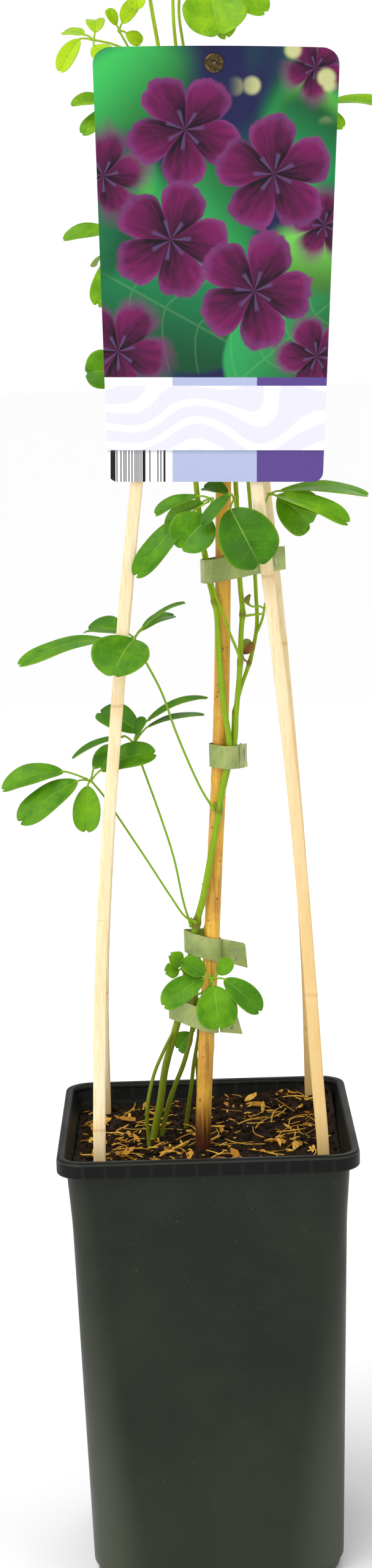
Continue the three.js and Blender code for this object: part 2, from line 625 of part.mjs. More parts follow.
const LEAVES = {
  leaf_left_high: {
    on: MAIN, z: 340, turn: 190, color: GREEN,
    via: [[2, -17.6, 349], [-8, -20, 374], [-14, -24, 393], [-21.6, -25, 409]], hub: [-24.8, -25, 416.6],
    leaflets: [
      [[-24.8, -32.6, 417], [-34, -49, 403.6], 25, [-0.1, -0.72, 0.68]],
      [[-37.4, -26.6, 416.6], [-75, -35, 409], 13, [0, -0.35, 0.94]],
      [[-28.4, -21, 418.4], [-46, -8, 420], 14],
      [[-21.6, -23, 420.4], [-3, -20.6, 432], 9, [0, -0.1, 1]],
      [[-21.6, -20.6, 419.4], [-7, -8, 425], 9],
    ],
  },
  leaf_left_middle: {
    on: MAIN, z: 288, turn: 200, color: GREEN,
    via: [[-7, -15, 298], [-11, -18, 320], [-16, -20, 338], [-23, -21, 360]], hub: [-26.5, -21.5, 371],
    leaflets: [
      [[-24.4, -18.6, 375.4], [-42, -8, 384], 13, [0.2, -0.85, 0.5]],
      [[-20.6, -17.4, 377.2], [4.4, -13.4, 382.6], 8, [0, -0.2, 1]],
      [[-20.8, -14.6, 379.4], [6, -12.6, 390], 9, [0, -0.2, 1]],
      [[-30.6, -23, 374.4], [-54, -25, 366.6], 6, [0, -0.4, 0.9]],
      [[-25.6, -23.4, 374.6], [-21.4, -29, 382.6], 6, [0, -0.7, 0.7]],
    ],
  },
  leaf_left_far: {
    on: MAIN, z: 290, turn: 265, color: GREEN,
    via: [[-7, -19, 294], [-12, -21, 302], [-23, -24, 321], [-35, -26, 341], [-40, -26, 349]],
    hub: [-45.4, -26, 356],
    leaflets: [
      [[-57, -27, 360.4], [-84, -31, 354.6], 13],
      [[-51, -29, 356.4], [-77, -37, 341], 15, [0, -0.6, 0.8]],
      [[-46.8, -28, 354], [-48, -34, 334.6], 12, [0, -0.95, 0.3]],
      [[-44, -23.4, 361], [-33.6, -12, 369], 10],
      [[-41, -24, 360], [-17, -27, 368], 13, [0, -0.7, 0.7]],
    ],
  },
  leaf_low_front: {
    on: MAIN, z: 258, turn: 260, color: GREEN,
    via: [[-6, -13, 257.6], [-2, -19, 259], [2.4, -24, 263]], hub: [4, -25, 267],
    leaflets: [
      [[0.4, -25.6, 267.6], [-18, -31, 257], 14, [0, -0.8, 0.6]],
      [[4.6, -27.6, 264.6], [6.4, -34, 246.4], 18, [0, -0.9, 0.4]],
      [[9.4, -25.6, 267], [25, -31, 253], 15, [0, -0.8, 0.6]],
      [[6.6, -24, 268.8], [12.6, -25, 275.6], 7, [0, -0.9, 0.4]],
      [[1.4, -24.6, 269.4], [-8.6, -26.4, 276], 9, [0, -0.8, 0.6]],
    ],
  },
  leaf_low_side: {
    on: MAIN, z: 266, turn: 215, color: YOUNG,
    via: [[-8.4, -13, 268]], hub: [-8.6, -15, 269.4],
    leaflets: [
      [[-9.4, -16.4, 271.2], [-14, -19.6, 277.6], 8, [0, -0.8, 0.6]],
      [[-10.2, -16.4, 269.4], [-16.6, -19, 269.6], 8, [0, -0.7, 0.7]],
    ],
  },
  leaf_small_round: {
    on: THIRD, z: 238.4, turn: 120, color: GREEN,
    via: [[-4, 5.4, 237.6]], hub: [-4.6, 6.2, 236.4],
    leaflets: [[[-5.6, 6.8, 235], [-12.4, 9, 227], 9.6, [0, -0.85, 0.5]]],
  },
  leaf_upper_left: {
    on: MAIN, z: 458, turn: 270, color: GREEN,
    via: [[6.2, -16, 462], [8.4, -22, 469]], hub: [10, -26, 474.6],
    leaflets: [
      [[8.4, -29.6, 467], [-4.4, -37, 454.6], 20, [0, -0.85, 0.5]],
      [[-0.6, -29, 468], [-24.6, -34.4, 443.6], 12, [0, -0.7, 0.7]],
      [[4, -27.4, 476], [-15, -29.6, 469.6], 8],
      [[6, -23.6, 473.4], [-11.4, -20.6, 465], 9],
    ],
  },
  leaf_upper_centre: {
    on: BRANCH, z: 458, turn: 270, color: GREEN,
    via: [[20.6, -14, 463], [19.8, -21, 470]], hub: [19.2, -26, 475],
    leaflets: [
      [[17.4, -30.6, 470.4], [29.4, -39, 446.4], 25.5, [0.1, -0.9, 0.4]],
      [[17.4, -30, 476.6], [6.6, -38, 467.4], 9],
      [[16.6, -22, 476.4], [6, -16, 479.6], 9],
    ],
  },
  leaf_upper_right: {
    on: SECOND, z: 457, turn: 280, color: YOUNG,
    via: [[28.6, -6, 462], [31.4, -13, 469]], hub: [34, -18.6, 475.4],
    leaflets: [
      [[37, -20.4, 475], [68, -30, 464], 12, [0, -0.5, 0.86]],
      [[39, -16.4, 476.6], [77, -21, 475.6], 10, [0, -0.4, 0.9]],
      [[38, -13.4, 475], [61, -5, 464], 17, [0, -0.8, 0.6]],
      [[35.4, -14.4, 471.4], [41, -6, 459], 9, [0, -0.8, 0.6]],
    ],
  },
  leaf_back_low: {
    on: BRANCH, z: 520, turn: 60, color: DARK,
    via: [[20, 9, 526], [17, 18, 534]], hub: [13, 25, 540],
    leaflets: [
      [[10, 29, 542], [-8, 40, 541], 15, [0, 0.5, 0.86]],
      [[13, 31, 540], [12, 52, 531], 18, [0, 0.5, 0.86]],
      [[17, 29, 541], [36, 40, 536], 16, [0, 0.5, 0.86]],
      [[17, 25, 543], [37, 24, 549], 12, [0, 0.3, 0.95]],
    ],
  },
  leaf_back_high: {
    on: SECOND, z: 610, turn: 100, color: DARK,
    via: [[9, 16, 618], [6, 22, 627]], hub: [2, 26, 633],
    leaflets: [
      [[-1, 29, 634], [-17, 36, 630], 14, [0, 0.4, 0.9]],
      [[2, 31, 632], [3, 50, 623], 16, [0, 0.5, 0.86]],
      [[5, 29, 634], [22, 37, 630], 14, [0, 0.4, 0.9]],
      [[5, 26, 636], [20, 23, 644], 11, [0, 0.3, 0.95]],
    ],
  },
  leaf_label_left_low: {
    on: MAIN, z: 505, turn: 180, color: GREEN,
    via: [[-6, -9, 513], [-16, -9, 521]], hub: [-24, -9, 526.6],
    leaflets: [
      [[-26.6, -9.6, 529], [-42.4, -12, 528.6], 17, [0, -0.95, 0.3]],
      [[-25.6, -6, 522], [-27, 4, 506], 10],
      [[-24.4, -4, 531], [-27, 12, 540], 13],
    ],
  },
  leaf_label_left_middle: {
    on: MAIN, z: 560, turn: 180, color: YOUNG,
    via: [[-8, -8.4, 570], [-15, -7, 579]], hub: [-22, -6, 585],
    leaflets: [
      [[-29, -6.4, 587], [-50, -10, 585], 11, [0, -0.7, 0.7]],
      [[-24.6, -6.6, 579.6], [-37, -8, 556], 12, [0, -0.9, 0.4]],
      [[-22, -1, 590], [-32, 14, 598], 13],
      [[-20, 0, 584], [-17, 18, 578], 14],
      [[-25, -2, 582], [-38, 10, 574], 12],
    ],
  },
  leaf_label_left_top: {
    on: MAIN, z: 612, turn: 180, color: YOUNG,
    via: [[-10, -7, 626], [-18, -5, 636]], hub: [-24, -4, 640],
    leaflets: [
      [[-29, -4.4, 641], [-44.6, -8, 640], 11, [0, -0.7, 0.7]],
      [[-27, -5, 637.4], [-41, -7, 628], 9, [0, -0.7, 0.7]],
      [[-22, 0, 643.4], [-28, 12, 648], 12],
      [[-20.6, 1, 639], [-12, 16, 637], 13],
      [[-23, 0, 636], [-24, 10, 621], 12],
    ],
  },
  leaf_label_right: {
    on: SECOND, z: 598, turn: 40, color: YOUNG,
    via: [[24, 10, 610], [38, 6, 625], [50, 1, 634]], hub: [56, -2, 637],
    leaflets: [
      [[63, -3, 637.4], [88, -8, 636.6], 9.4, [0, -0.5, 0.86]],
      [[58.4, -4.4, 634.4], [70, -7.4, 627.4], 8, [0, -0.8, 0.6]],
      [[55, 1.4, 641], [58, 16, 649], 12],
      [[52, 4, 634], [49, 18, 624], 13],
      [[58.4, 2, 637], [66, 16, 631], 12],
    ],
  },
  leaf_top_left: {
    on: MAIN, z: 652, turn: 180, color: YOUNG,
    via: [[-16, -6, 659], [-26, -5, 664]], hub: [-34, -5, 666],
    leaflets: [
      [[-40, -5.6, 666.4], [-48.8, -9, 653], 7.6, [0, -0.9, 0.4]],
      [[-38, -3.4, 668.4], [-47, 2, 671], 8],
      [[-33.4, -2.4, 669.4], [-33, 5, 676], 8],
      [[-34, -7.6, 663.6], [-27, -12.6, 656], 10, [0, -0.8, 0.6]],
    ],
  },
  leaf_top_tip: {
    on: MAIN, z: 640, turn: 130, color: YOUNG,
    via: [[-12, 0.6, 650], [-19, 1, 662]], hub: [-23.4, 1, 670],
    leaflets: [
      [[-22, 0, 673], [-16, -3, 681], 8, [0, -0.8, 0.6]],
      [[-20.4, 0.6, 669], [-14, 0, 664.6], 7, [0, -0.8, 0.6]],
      [[-24.4, 1, 672.4], [-28, -1, 679], 5, [0, -0.8, 0.6]],
    ],
  },
  leaf_top_middle: {
    on: MAIN, z: 692, turn: 200, color: YOUNG,
    via: [[-14.4, -5, 694]], hub: [-16, -6, 692],
    leaflets: [
      [[-16.6, -7.4, 688.6], [-15, -12, 677], 8, [0, -0.9, 0.4]],
      [[-18, -6.4, 691.4], [-25, -9, 684], 8, [0, -0.8, 0.6]],
            [[-17, -4, 695.4], [-21, 4, 702], 8],
    ],
  },
  leaf_top_broad: {
    on: BRANCH, z: 692, turn: 300, color: YOUNG,
    via: [[6, -3, 694], [11, -5, 693]], hub: [15, -6, 690],
    leaflets: [
      [[15.2, -10.4, 683.6], [18.4, -22.6, 664.6], 27, [0, -0.8, 0.6]],
      [[20.4, -9, 686.6], [38.4, -17, 674], 14, [0, -0.8, 0.6]],
      [[16.4, -2, 686], [22.4, 5, 665.6], 11, [0, -0.8, 0.6]],
      [[11, -7.6, 694.6], [1, -15, 704], 14],
      [[17.4, -3.4, 694.4], [25, 6, 707], 14],
    ],
  },
  leaf_crown_left: {
    on: MAIN, z: 720, turn: 150, color: YOUNG,
    via: [[-14, 1.4, 725]], hub: [-16.4, 3, 728],
    leaflets: [
      [[-18.4, 3, 729.6], [-27, -1, 731], 9],
      [[-17, 5, 730], [-21, 13, 734], 8],
      [[-16, 1, 729.4], [-12, -7, 733], 8],
    ],
  },
  leaf_crown_right: {
    on: BRANCH, z: 721, turn: 20, color: YOUNG,
    via: [[9, 4, 726]], hub: [11.6, 5, 729],
    leaflets: [
      [[13.6, 4.4, 731], [23, 0, 734], 9],
      [[12.6, 7, 731], [17, 15, 735], 8],
      [[11, 3, 730.6], [7.6, -6, 735], 8],
    ],
  },
};

// A dry bract that still hangs where a leaf fell
const DRY_BRACT = {
  on: SECOND, z: 402.4, turn: 245, color: 0x8a5a2c, via: [[22, -6.6, 404]], hub: [21.2, -7, 405.4],
  leaflets: [[[20.4, -7.4, 406.8], [25.6, -6.6, 412], 6.4, [0, -1, 0.1]]],
};

// The parts in order, from the pot up
place('pot', pot(), 0x30352f, 0.5);
place('soil', soil(), 0x33241a, 0.95);
place('cane', stem(CANE_PATH, CANE_RADIUS, CANE_RADIUS - 0.2, 10, 16), 0xa8632f, 0.6);
for (const [name, path] of Object.entries(SLAT_PATHS)) {
  slat(name, path);
}
place('rivet', rivet(), 0x4a3a28, 0.35, 1);
place('label', label(), 0xe8e8f4, 0.35);
TIES.forEach((entry, i) => tie(i + 1, entry));

place('main_stem', joined([
  stem(MAIN.path, MAIN.thick, MAIN.thin, 6, 36),
  stem(BRANCH.path, BRANCH.thick, BRANCH.thin, 5, 24),
  stem(MAIN_BRANCH_THIN, 0.7, 0.5, 5, 7),
  stem(SHOOT_FRONT, 0.9, 0.7, 5, 7),
  stem(TWIG_ON_BRANCH, 0.6, 0.45, 4, 3),
]), 0x7a8a3a, 0.6);
place('second_stem', joined([
  stem(SECOND.path, SECOND.thick, SECOND.thin, 5, 36),
  stem(SHOOT_BEHIND, 0.8, 0.6, 5, 5),
  stem(TWIG_ON_SECOND, 0.7, 0.5, 4, 3),
]), 0x86933c, 0.6);
place('third_stem', joined([
  stem(THIRD.path, THIRD.thick, THIRD.thin, 5, 14),
  stem(THIRD_SHOOT, 0.8, 0.6, 5, 5),
]), 0x6f7f34, 0.6);
for (const [name, entry] of Object.entries(LEAVES)) {
  compoundLeaf(name, entry);
}
compoundLeaf('dry_bract', DRY_BRACT);

export default object;
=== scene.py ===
# %% [markdown]
# # A potted five-leaf akebia
# The part is a young climber in a tall square nursery pot. It is tied to a bamboo cane, and four pale
# slats lean over it and meet at the rivet of a card label. The CAD solids give every size and place.
# This lesson builds the finer pieces that stand for them, and gives each one its finish.

# %% Load the frame
import json
import math
import random

import bmesh
import bpy
from mathutils import Euler, Matrix, Vector, geometry, noise


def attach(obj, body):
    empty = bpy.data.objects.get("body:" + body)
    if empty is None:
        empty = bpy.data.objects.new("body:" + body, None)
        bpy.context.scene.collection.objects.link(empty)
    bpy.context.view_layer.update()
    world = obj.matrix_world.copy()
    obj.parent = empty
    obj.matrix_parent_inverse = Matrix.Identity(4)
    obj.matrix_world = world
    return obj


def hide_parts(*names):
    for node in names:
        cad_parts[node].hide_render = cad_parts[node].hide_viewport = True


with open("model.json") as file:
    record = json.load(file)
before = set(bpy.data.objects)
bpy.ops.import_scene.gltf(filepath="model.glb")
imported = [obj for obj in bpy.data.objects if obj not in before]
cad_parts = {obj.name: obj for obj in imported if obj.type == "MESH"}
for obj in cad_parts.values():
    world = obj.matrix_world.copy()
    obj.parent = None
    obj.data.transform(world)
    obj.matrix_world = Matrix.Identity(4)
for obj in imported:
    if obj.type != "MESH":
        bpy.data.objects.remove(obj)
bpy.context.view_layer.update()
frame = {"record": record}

# %% [markdown]
# ## Camera
# The picture was taken from about 1.2 m in front of the pot and a little above its middle, looking
# slightly down, with the camera turned a touch to one side. A lens is easiest to place by its three own
# directions, so they are worked out here and put into the camera's matrix as columns.

# %% Camera
EYE = Vector((-0.0047, -1.167, 0.536))
LOOKS_DOWN = math.radians(9.1)
TURNED = math.radians(1.7)
FILM_WIDTH, LENS = 36, 61.875

ahead = Vector((0, math.cos(LOOKS_DOWN), -math.sin(LOOKS_DOWN)))
level = Vector((1, 0, 0))
upright = level.cross(ahead)
right = level * math.cos(TURNED) - upright * math.sin(TURNED)
top = upright * math.cos(TURNED) + level * math.sin(TURNED)

camera = bpy.data.objects.new("camera", bpy.data.cameras.new("camera"))
camera.data.sensor_width = FILM_WIDTH
camera.data.lens = LENS
camera.matrix_world = Matrix.Translation(EYE) @ Matrix((right, top, -ahead)).transposed().to_4x4()
bpy.context.scene.collection.objects.link(camera)
bpy.context.scene.camera = camera
print("camera looks along", [round(v, 3) for v in ahead])

# %% [markdown]
# ## Light
# A nursery shoots its plants on white paper with large soft lamps. One very wide sun stands high on the
# left, so it lights near and far paper alike, and two softboxes give the leaves and the cane their shine.
# The paper behind is brighter than what it sheds on the plant, which the light path tells apart.

# %% Light
scene = bpy.context.scene
scene.view_settings.view_transform = "Standard"
ROOM_SEEN, ROOM_SHEDS = 1.0, 0.64
world = bpy.data.worlds.new("paper room")
world.use_nodes = True
room = world.node_tree
room.nodes["Background"].inputs["Color"].default_value = (1, 1, 1, 1)
seen = room.nodes.new("ShaderNodeLightPath").outputs["Is Camera Ray"]
strength = room.nodes.new("ShaderNodeMapRange")
strength.inputs["To Min"].default_value = ROOM_SHEDS
strength.inputs["To Max"].default_value = ROOM_SEEN
room.links.new(seen, strength.inputs["Value"])
room.links.new(strength.outputs["Result"], room.nodes["Background"].inputs["Strength"])
scene.world = world

PLANT_MIDDLE = Vector((0, 0, 0.35))


def lamp(name, kind, place, power, size):
    """A lamp that faces the middle of the plant; its size is metres, or degrees for a sun."""
    light = bpy.data.lights.new(name, kind)
    light.energy = power
    if kind == "SUN":
        light.angle = math.radians(size)
    else:
        light.size = size
    lamp_object = bpy.data.objects.new(name, light)
    facing = (PLANT_MIDDLE - Vector(place)).to_track_quat("-Z", "Y")
    lamp_object.matrix_world = Matrix.Translation(place) @ facing.to_matrix().to_4x4()
    scene.collection.objects.link(lamp_object)


lamp("wide sun", "SUN", (-1.5, -1.4, 3.4), 1.6, 50)
lamp("softbox right", "AREA", (1.5, -1.3, 1.4), 6, 1.0)
lamp("softbox low left", "AREA", (-0.55, -0.62, 0.3), 1.1, 0.3)
lamp("softbox behind", "AREA", (0.5, 1.7, 1.6), 6, 1.0)

# %% [markdown]
# ## A bench for finishes
# Every finish is a small tree of nodes. Writing each node out takes many lines, so this bench holds the
# few calls that the finishes share. What a node puts out comes back as a Value, and Python's own signs
# work on it: a * b adds a Math node that multiplies. Coats are colours laid over each other in order.

# %% A bench for finishes
MM = 0.001


def paint(colour):
    """A colour as a paint program writes it, 0 to 255, in Blender's linear light."""
    shares = (c / 255 for c in colour)
    return (*(c / 12.92 if c < 0.04045 else ((c + 0.055) / 1.055) ** 2.4 for c in shares), 1)


class Value:
    """A node's output that is reckoned with like a number."""

    def __init__(self, bench, socket):
        self.bench, self.socket = bench, socket

    def ease(self, low, high, to_low=0, to_high=1):
        """Runs smoothly from to_low to to_high while the value goes from low to high."""
        inputs = {"Value": self, "From Min": low, "From Max": high, "To Min": to_low, "To Max": to_high}
        return self.bench.value("MapRange", inputs, "Result", interpolation_type="SMOOTHSTEP")


SIGNS = {
    "add": "ADD", "sub": "SUBTRACT", "mul": "MULTIPLY", "truediv": "DIVIDE", "pow": "POWER",
    "lt": "LESS_THAN", "gt": "GREATER_THAN", "abs": "ABSOLUTE",
}


def reckon(operation):
    """A method that adds one Math node for a sign."""
    return lambda *values: values[0].bench.math(operation, *values)


for sign, operation in SIGNS.items():
    setattr(Value, f"__{sign}__", reckon(operation))


class Bench:
    """Short calls that add nodes to one tree, which ends in a shader or in a group's outputs."""

    def __init__(self, name, tree, end):
        self.name, self.tree, self.end = name, tree, end

    def __str__(self):
        return f"{self.name}: {len(self.tree.nodes)} nodes"

    def value(self, kind, inputs, output=0, **settings):
        """Adds a node and returns one of its outputs."""
        made = self.tree.nodes.new("ShaderNode" + kind)
        for key, setting in settings.items():
            setattr(made, key, setting)
        for key, given in inputs.items():
            self.set(made.inputs[key], given)
        return Value(self, made.outputs[output])

    def set(self, socket, given):
        if isinstance(given, Value):
            self.tree.links.new(given.socket, socket)
        else:
            socket.default_value = given

    def give(self, name, given):
        """Joins a value to the input of this name at the tree's end."""
        self.set(self.end.inputs[name], given)

    def place(self):
        return self.value("TexCoord", {}, "Object")

    def map(self, name):
        """The piece's own flat coordinates."""
        return self.value("UVMap", {}, "UV", uv_map=name)

    def attribute(self, name):
        return self.value("Attribute", {}, "Fac", attribute_name=name)

    def axes(self, vector):
        split = self.value("SeparateXYZ", {0: vector}).socket.node
        return [Value(self, axis) for axis in split.outputs]

    def math(self, operation, *values):
        return self.value("Math", dict(enumerate(values)), operation=operation)

    def blend(self, share, first, second):
        first, second = (paint(c) if isinstance(c, tuple) else c for c in (first, second))
        return self.value("Mix", {0: share, 6: first, 7: second}, 2, data_type="RGBA")

    def coats(self, colour, *coats):
        """A colour with others laid over it in order, each with the share that it covers."""
        for share, coat in coats:
            colour = self.blend(share, colour, coat)
        return colour

    def ramp(self, share, *stops):
        """A run of colours, each at its own place from 0 to 1."""
        made = self.value("ValToRGB", {"Fac": share}, "Color")
        elements = made.socket.node.color_ramp.elements
        for element, (position, colour) in zip(elements, (stops[0], stops[-1])):
            element.position, element.color = position, paint(colour)
        for position, colour in stops[1:-1]:
            elements.new(position).color = paint(colour)
        return made

    def stretch(self, vector, scale=(1, 1, 1), shift=(0, 0, 0)):
        return self.value("Mapping", {"Vector": vector, "Scale": scale, "Location": shift}, "Vector")

    def noise(self, vector, scale, detail=3, roughness=0.5, distortion=0):
        inputs = {"Vector": vector, "Scale": scale, "Detail": detail, "Roughness": roughness}
        return self.value("TexNoise", {**inputs, "Distortion": distortion}, "Fac")

    def cells(self, vector, scale):
        return self.value("TexVoronoi", {"Vector": vector, "Scale": scale}, "Distance")

    def group(self, name, *inputs):
        """A shared effect: its only output, or all of them by name."""
        group = bpy.data.node_groups[name]
        made = self.value("Group", dict(enumerate(inputs)), node_tree=group)
        outputs = made.socket.node.outputs
        return made if len(outputs) == 1 else {output.name: Value(self, output) for output in outputs}

    def bump(self, height, depth, strength=1):
        """A normal from a height of 0 to 1 that stands for depth in metres."""
        return self.value("Bump", {"Height": height, "Distance": depth, "Strength": strength})


def new_finish(name, roughness=0.5, specular=0.5, metallic=0):
    """A material, and the bench of its tree, which ends in its shader."""
    material = bpy.data.materials.new(name)
    material.use_nodes = True
    bench = Bench(name, material.node_tree, material.node_tree.nodes["Principled BSDF"])
    bench.give("Roughness", roughness)
    bench.give("Specular IOR Level", specular)
    bench.give("Metallic", metallic)
    return material, bench


def new_group(name, numbers, outputs):
    """A node group, its bench and its inputs, which are a vector and then numbers."""
    tree = bpy.data.node_groups.new(name, "ShaderNodeTree")
    tree.interface.new_socket("Vector", in_out="INPUT", socket_type="NodeSocketVector")
    for socket in numbers:
        tree.interface.new_socket(socket, in_out="INPUT", socket_type="NodeSocketFloat")
    for socket in outputs:
        tree.interface.new_socket(socket, in_out="OUTPUT", socket_type="NodeSocketFloat")
    bench = Bench("group " + name, tree, tree.nodes.new("NodeGroupOutput"))
    given = tree.nodes.new("NodeGroupInput").outputs
    return bench, [Value(bench, socket) for socket in given[: len(numbers) + 1]]


print("bench ready")

# %% [markdown]
# ## Three effects that many finishes share
# Fibres run along bamboo, bark, straw and chips: a noise that is squeezed across and drawn out along gives
# them. Mottling is two noises of different size, added. Specks are the centres of scattered cells. Each
# is a node group, so a finish only says how large and how strong.

# %% Fibres
bench, (where, across, along) = new_group("fibres", ["Across", "Along"], ["Fibre"])
drawn = bench.value("CombineXYZ", {0: across, 1: across, 2: along})
squeezed = bench.value("VectorMath", {0: where, 1: drawn}, operation="MULTIPLY")
coarse = bench.noise(squeezed, 1, 4, 0.6)
fine = bench.noise(squeezed, 3.7, 2, 0.5)
bench.give("Fibre", (coarse * 0.65 + fine * 0.35).ease(0.32, 0.68))
print(bench)

# %% Mottling
bench, (where, scale) = new_group("mottling", ["Scale"], ["Mottle"])
broad = bench.noise(where, scale, 2, 0.5, 0.4)
small = bench.noise(where, scale * 5.3, 3, 0.6)
bench.give("Mottle", (broad * 0.7 + small * 0.3).ease(0.3, 0.7))
print(bench)

# %% Specks
bench, (where, scale, size) = new_group("specks", ["Scale", "Size"], ["Speck"])
inside = bench.cells(where, scale).ease(size * 0.5, size, 1, 0)
rarely = bench.noise(where, scale * 0.31).ease(0.5, 0.62)
bench.give("Speck", inside * rarely)
print(bench)

# %% Floor
FLOOR_RADIUS, FLOOR_DROP = 40, 0.0004
floor_finish, bench = new_finish("plain paper", 0.8)
bench.give("Base Color", (0.95, 0.95, 0.95, 1))
floor_mesh = bpy.data.meshes.new("floor")
bm = bmesh.new()
below = Matrix.Translation((0, 0, -FLOOR_DROP))
bmesh.ops.create_circle(bm, cap_ends=True, segments=96, radius=FLOOR_RADIUS, matrix=below)
bm.to_mesh(floor_mesh)
bm.free()
floor = bpy.data.objects.new("floor", floor_mesh)
floor_mesh.materials.append(floor_finish)
scene.collection.objects.link(floor)
print("floor is", round(floor.dimensions.x), "m across")

# %% [markdown]
# ## Lines, sweeps and pieces
# Most of this plant is something long and thin that bends: stems, stalks, the cane, wire. So there is one
# way to draw a line through a few points, and one way to carry an outline along it: a circle is extruded
# ring by ring, and each new ring is moved from the frame of the last one into its own.

# %% A line through points
def mm(point):
    return Vector(point) * MM


def bend_through(points, per_span):
    """A smooth line through points, closer together where they turn sharply."""
    ends = [points[0] * 2 - points[1], *points, points[-1] * 2 - points[-2]]
    line = []
    for a, b, c, d in zip(ends, ends[1:], ends[2:], ends[3:]):
        before, own, after = (max((q - p).length, 1e-9) ** 0.5 for p, q in ((a, b), (b, c), (c, d)))
        leave = ((b - a) / before - (c - a) / (before + own) + (c - b) / own) * own
        arrive = ((c - b) / own - (d - b) / (own + after) + (d - c) / after) * own
        line += geometry.interpolate_bezier(b, b + leave / 3, c - arrive / 3, c, per_span + 1)[:-1]
    return [*line, points[-1].copy()]


def shares_along(line):
    """How far along the line each of its points lies, from 0 to 1."""
    run = [0.0]
    for a, b in zip(line, line[1:]):
        run.append(run[-1] + (b - a).length)
    return [r / run[-1] for r in run]


def at_height(path, z):
    """The point of a rising path, given in millimetres, at one height in millimetres."""
    i = 0
    while i < len(path) - 2 and path[i + 1][2] < z:
        i += 1
    a, b = Vector(path[i]), Vector(path[i + 1])
    return a.lerp(b, (z - a.z) / (b.z - a.z))


# %% Sweep an outline along a line
def frames_along(line, radii):
    """A matrix for each point of the line, turned as little as possible from one to the next."""
    made = []
    direction = (line[1] - line[0]).normalized()
    turn = direction.to_track_quat("Z", "Y").to_matrix()
    for i, (point, radius) in enumerate(zip(line, radii)):
        ahead_of = line[min(i + 1, len(line) - 1)] - line[max(i - 1, 0)]
        turn = direction.rotation_difference(ahead_of.normalized()).to_matrix() @ turn
        direction = ahead_of.normalized()
        made.append(Matrix.Translation(point) @ (turn @ Matrix.Diagonal((radius, radius, 1))).to_4x4())
    return made


def edges_of(verts):
    """Every edge that meets any of these vertices."""
    return list({e for v in verts for e in v.link_edges})


def closed_outline(bm, points):
    """A closed loop of edges through points in millimetres; returns its vertices and edges."""
    verts = [bm.verts.new(mm(point)) for point in points]
    return verts, [bm.edges.new((a, b)) for a, b in zip(verts, verts[1:] + verts[:1])]


def round_corners(bm, corners, radius, cuts):
    """Bevels corners of a flat face to a radius in millimetres."""
    bmesh.ops.bevel(
        bm, geom=corners, offset=radius * MM, segments=cuts, profile=0.5, affect="VERTICES", material=-1,
    )


def extrude_loop(bm, edges):
    """Extrudes edges where they are; returns the new vertices and the edges between them."""
    grown = bmesh.ops.extrude_edge_only(bm, edges=edges)["geom"]
    verts = [g for g in grown if isinstance(g, bmesh.types.BMVert)]
    fresh = set(verts)
    return verts, [g for g in grown if isinstance(g, bmesh.types.BMEdge) and fresh.issuperset(g.verts)]


def extrude_rings(bm, ring, frames):
    """Extrudes a loop of edges from frame to frame and closes both ends."""
    bmesh.ops.contextual_create(bm, geom=ring)
    for last, new in zip(frames, frames[1:]):
        verts, ring = extrude_loop(bm, ring)
        bmesh.ops.transform(bm, matrix=new @ last.inverted(), verts=verts)
    bmesh.ops.contextual_create(bm, geom=ring)


def sweep(bm, line, radii, sides):
    """A round rod along a line, with its own radius at each point; returns its vertices."""
    first = len(bm.verts)
    frames = frames_along(line, radii)
    circle = bmesh.ops.create_circle(bm, cap_ends=False, segments=sides, radius=1, matrix=frames[0])
    extrude_rings(bm, edges_of(circle["verts"]), frames)
    bm.verts.ensure_lookup_table()
    return bm.verts[first:]


# %% Turn a mesh into a piece of the part
def add_piece(name, bm, finishes, slot, stands_for=(), sharp=180):
    """Cleans the mesh, gives it its finishes and lets it ride on the part's one body.

    Edges that are sharper than so many degrees stay crisp; at 180 all is smooth.
    """
    bmesh.ops.recalc_face_normals(bm, faces=bm.faces)
    mesh = bpy.data.meshes.new(name)
    bm.to_mesh(mesh)
    bm.free()
    mesh.shade_smooth()
    mesh.set_sharp_from_angle(angle=math.radians(sharp))
    for finish in finishes:
        mesh.materials.append(finish)
    piece = bpy.data.objects.new(name, mesh)
    scene.collection.objects.link(piece)
    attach(piece, "root")
    if stands_for:
        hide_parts(*stands_for)
    faces = sum(len(p.vertices) - 2 for p in mesh.polygons)
    print(f"{name}: {faces} triangles")
    return piece


# %% [markdown]
# ## Pot finish
# The pot is recycled dark green plastic with a satin skin. Its round corners are painted lighter than the
# flat sides, a painted reflection of the white room, and a thin painted highlight runs along the rim's
# upper edge. Light rubs show where pots were stacked, some dust sits on it, and the reinforcing ribs
# behind the rim show through the skirt as faint upright bars.

# %% Pot finish
pot_plastic, bench = new_finish("dark satin plastic", specular=0.15)
where = bench.place()
x, y, z = bench.axes(where)
mottle = bench.group("mottling", where, 16)
on_skirt = z.ease(0.1895, 0.1908)
along_side = bench.math("MINIMUM", abs(x), abs(y))

# At a height z in metres a corner starts this far from the middle, and has this radius.
corner_start = z * 0.1116 + 0.0305
corner_radius = z * -0.0839 + 0.025
into_corner = (along_side - corner_start) / corner_radius
# The rounded corners are painted lighter: a painted reflection of the white room at grazing angles.
rounded = into_corner.ease(-0.15, 0.75, 0, 0.25) * z.ease(0.03, 0.17, 1, 0.2)

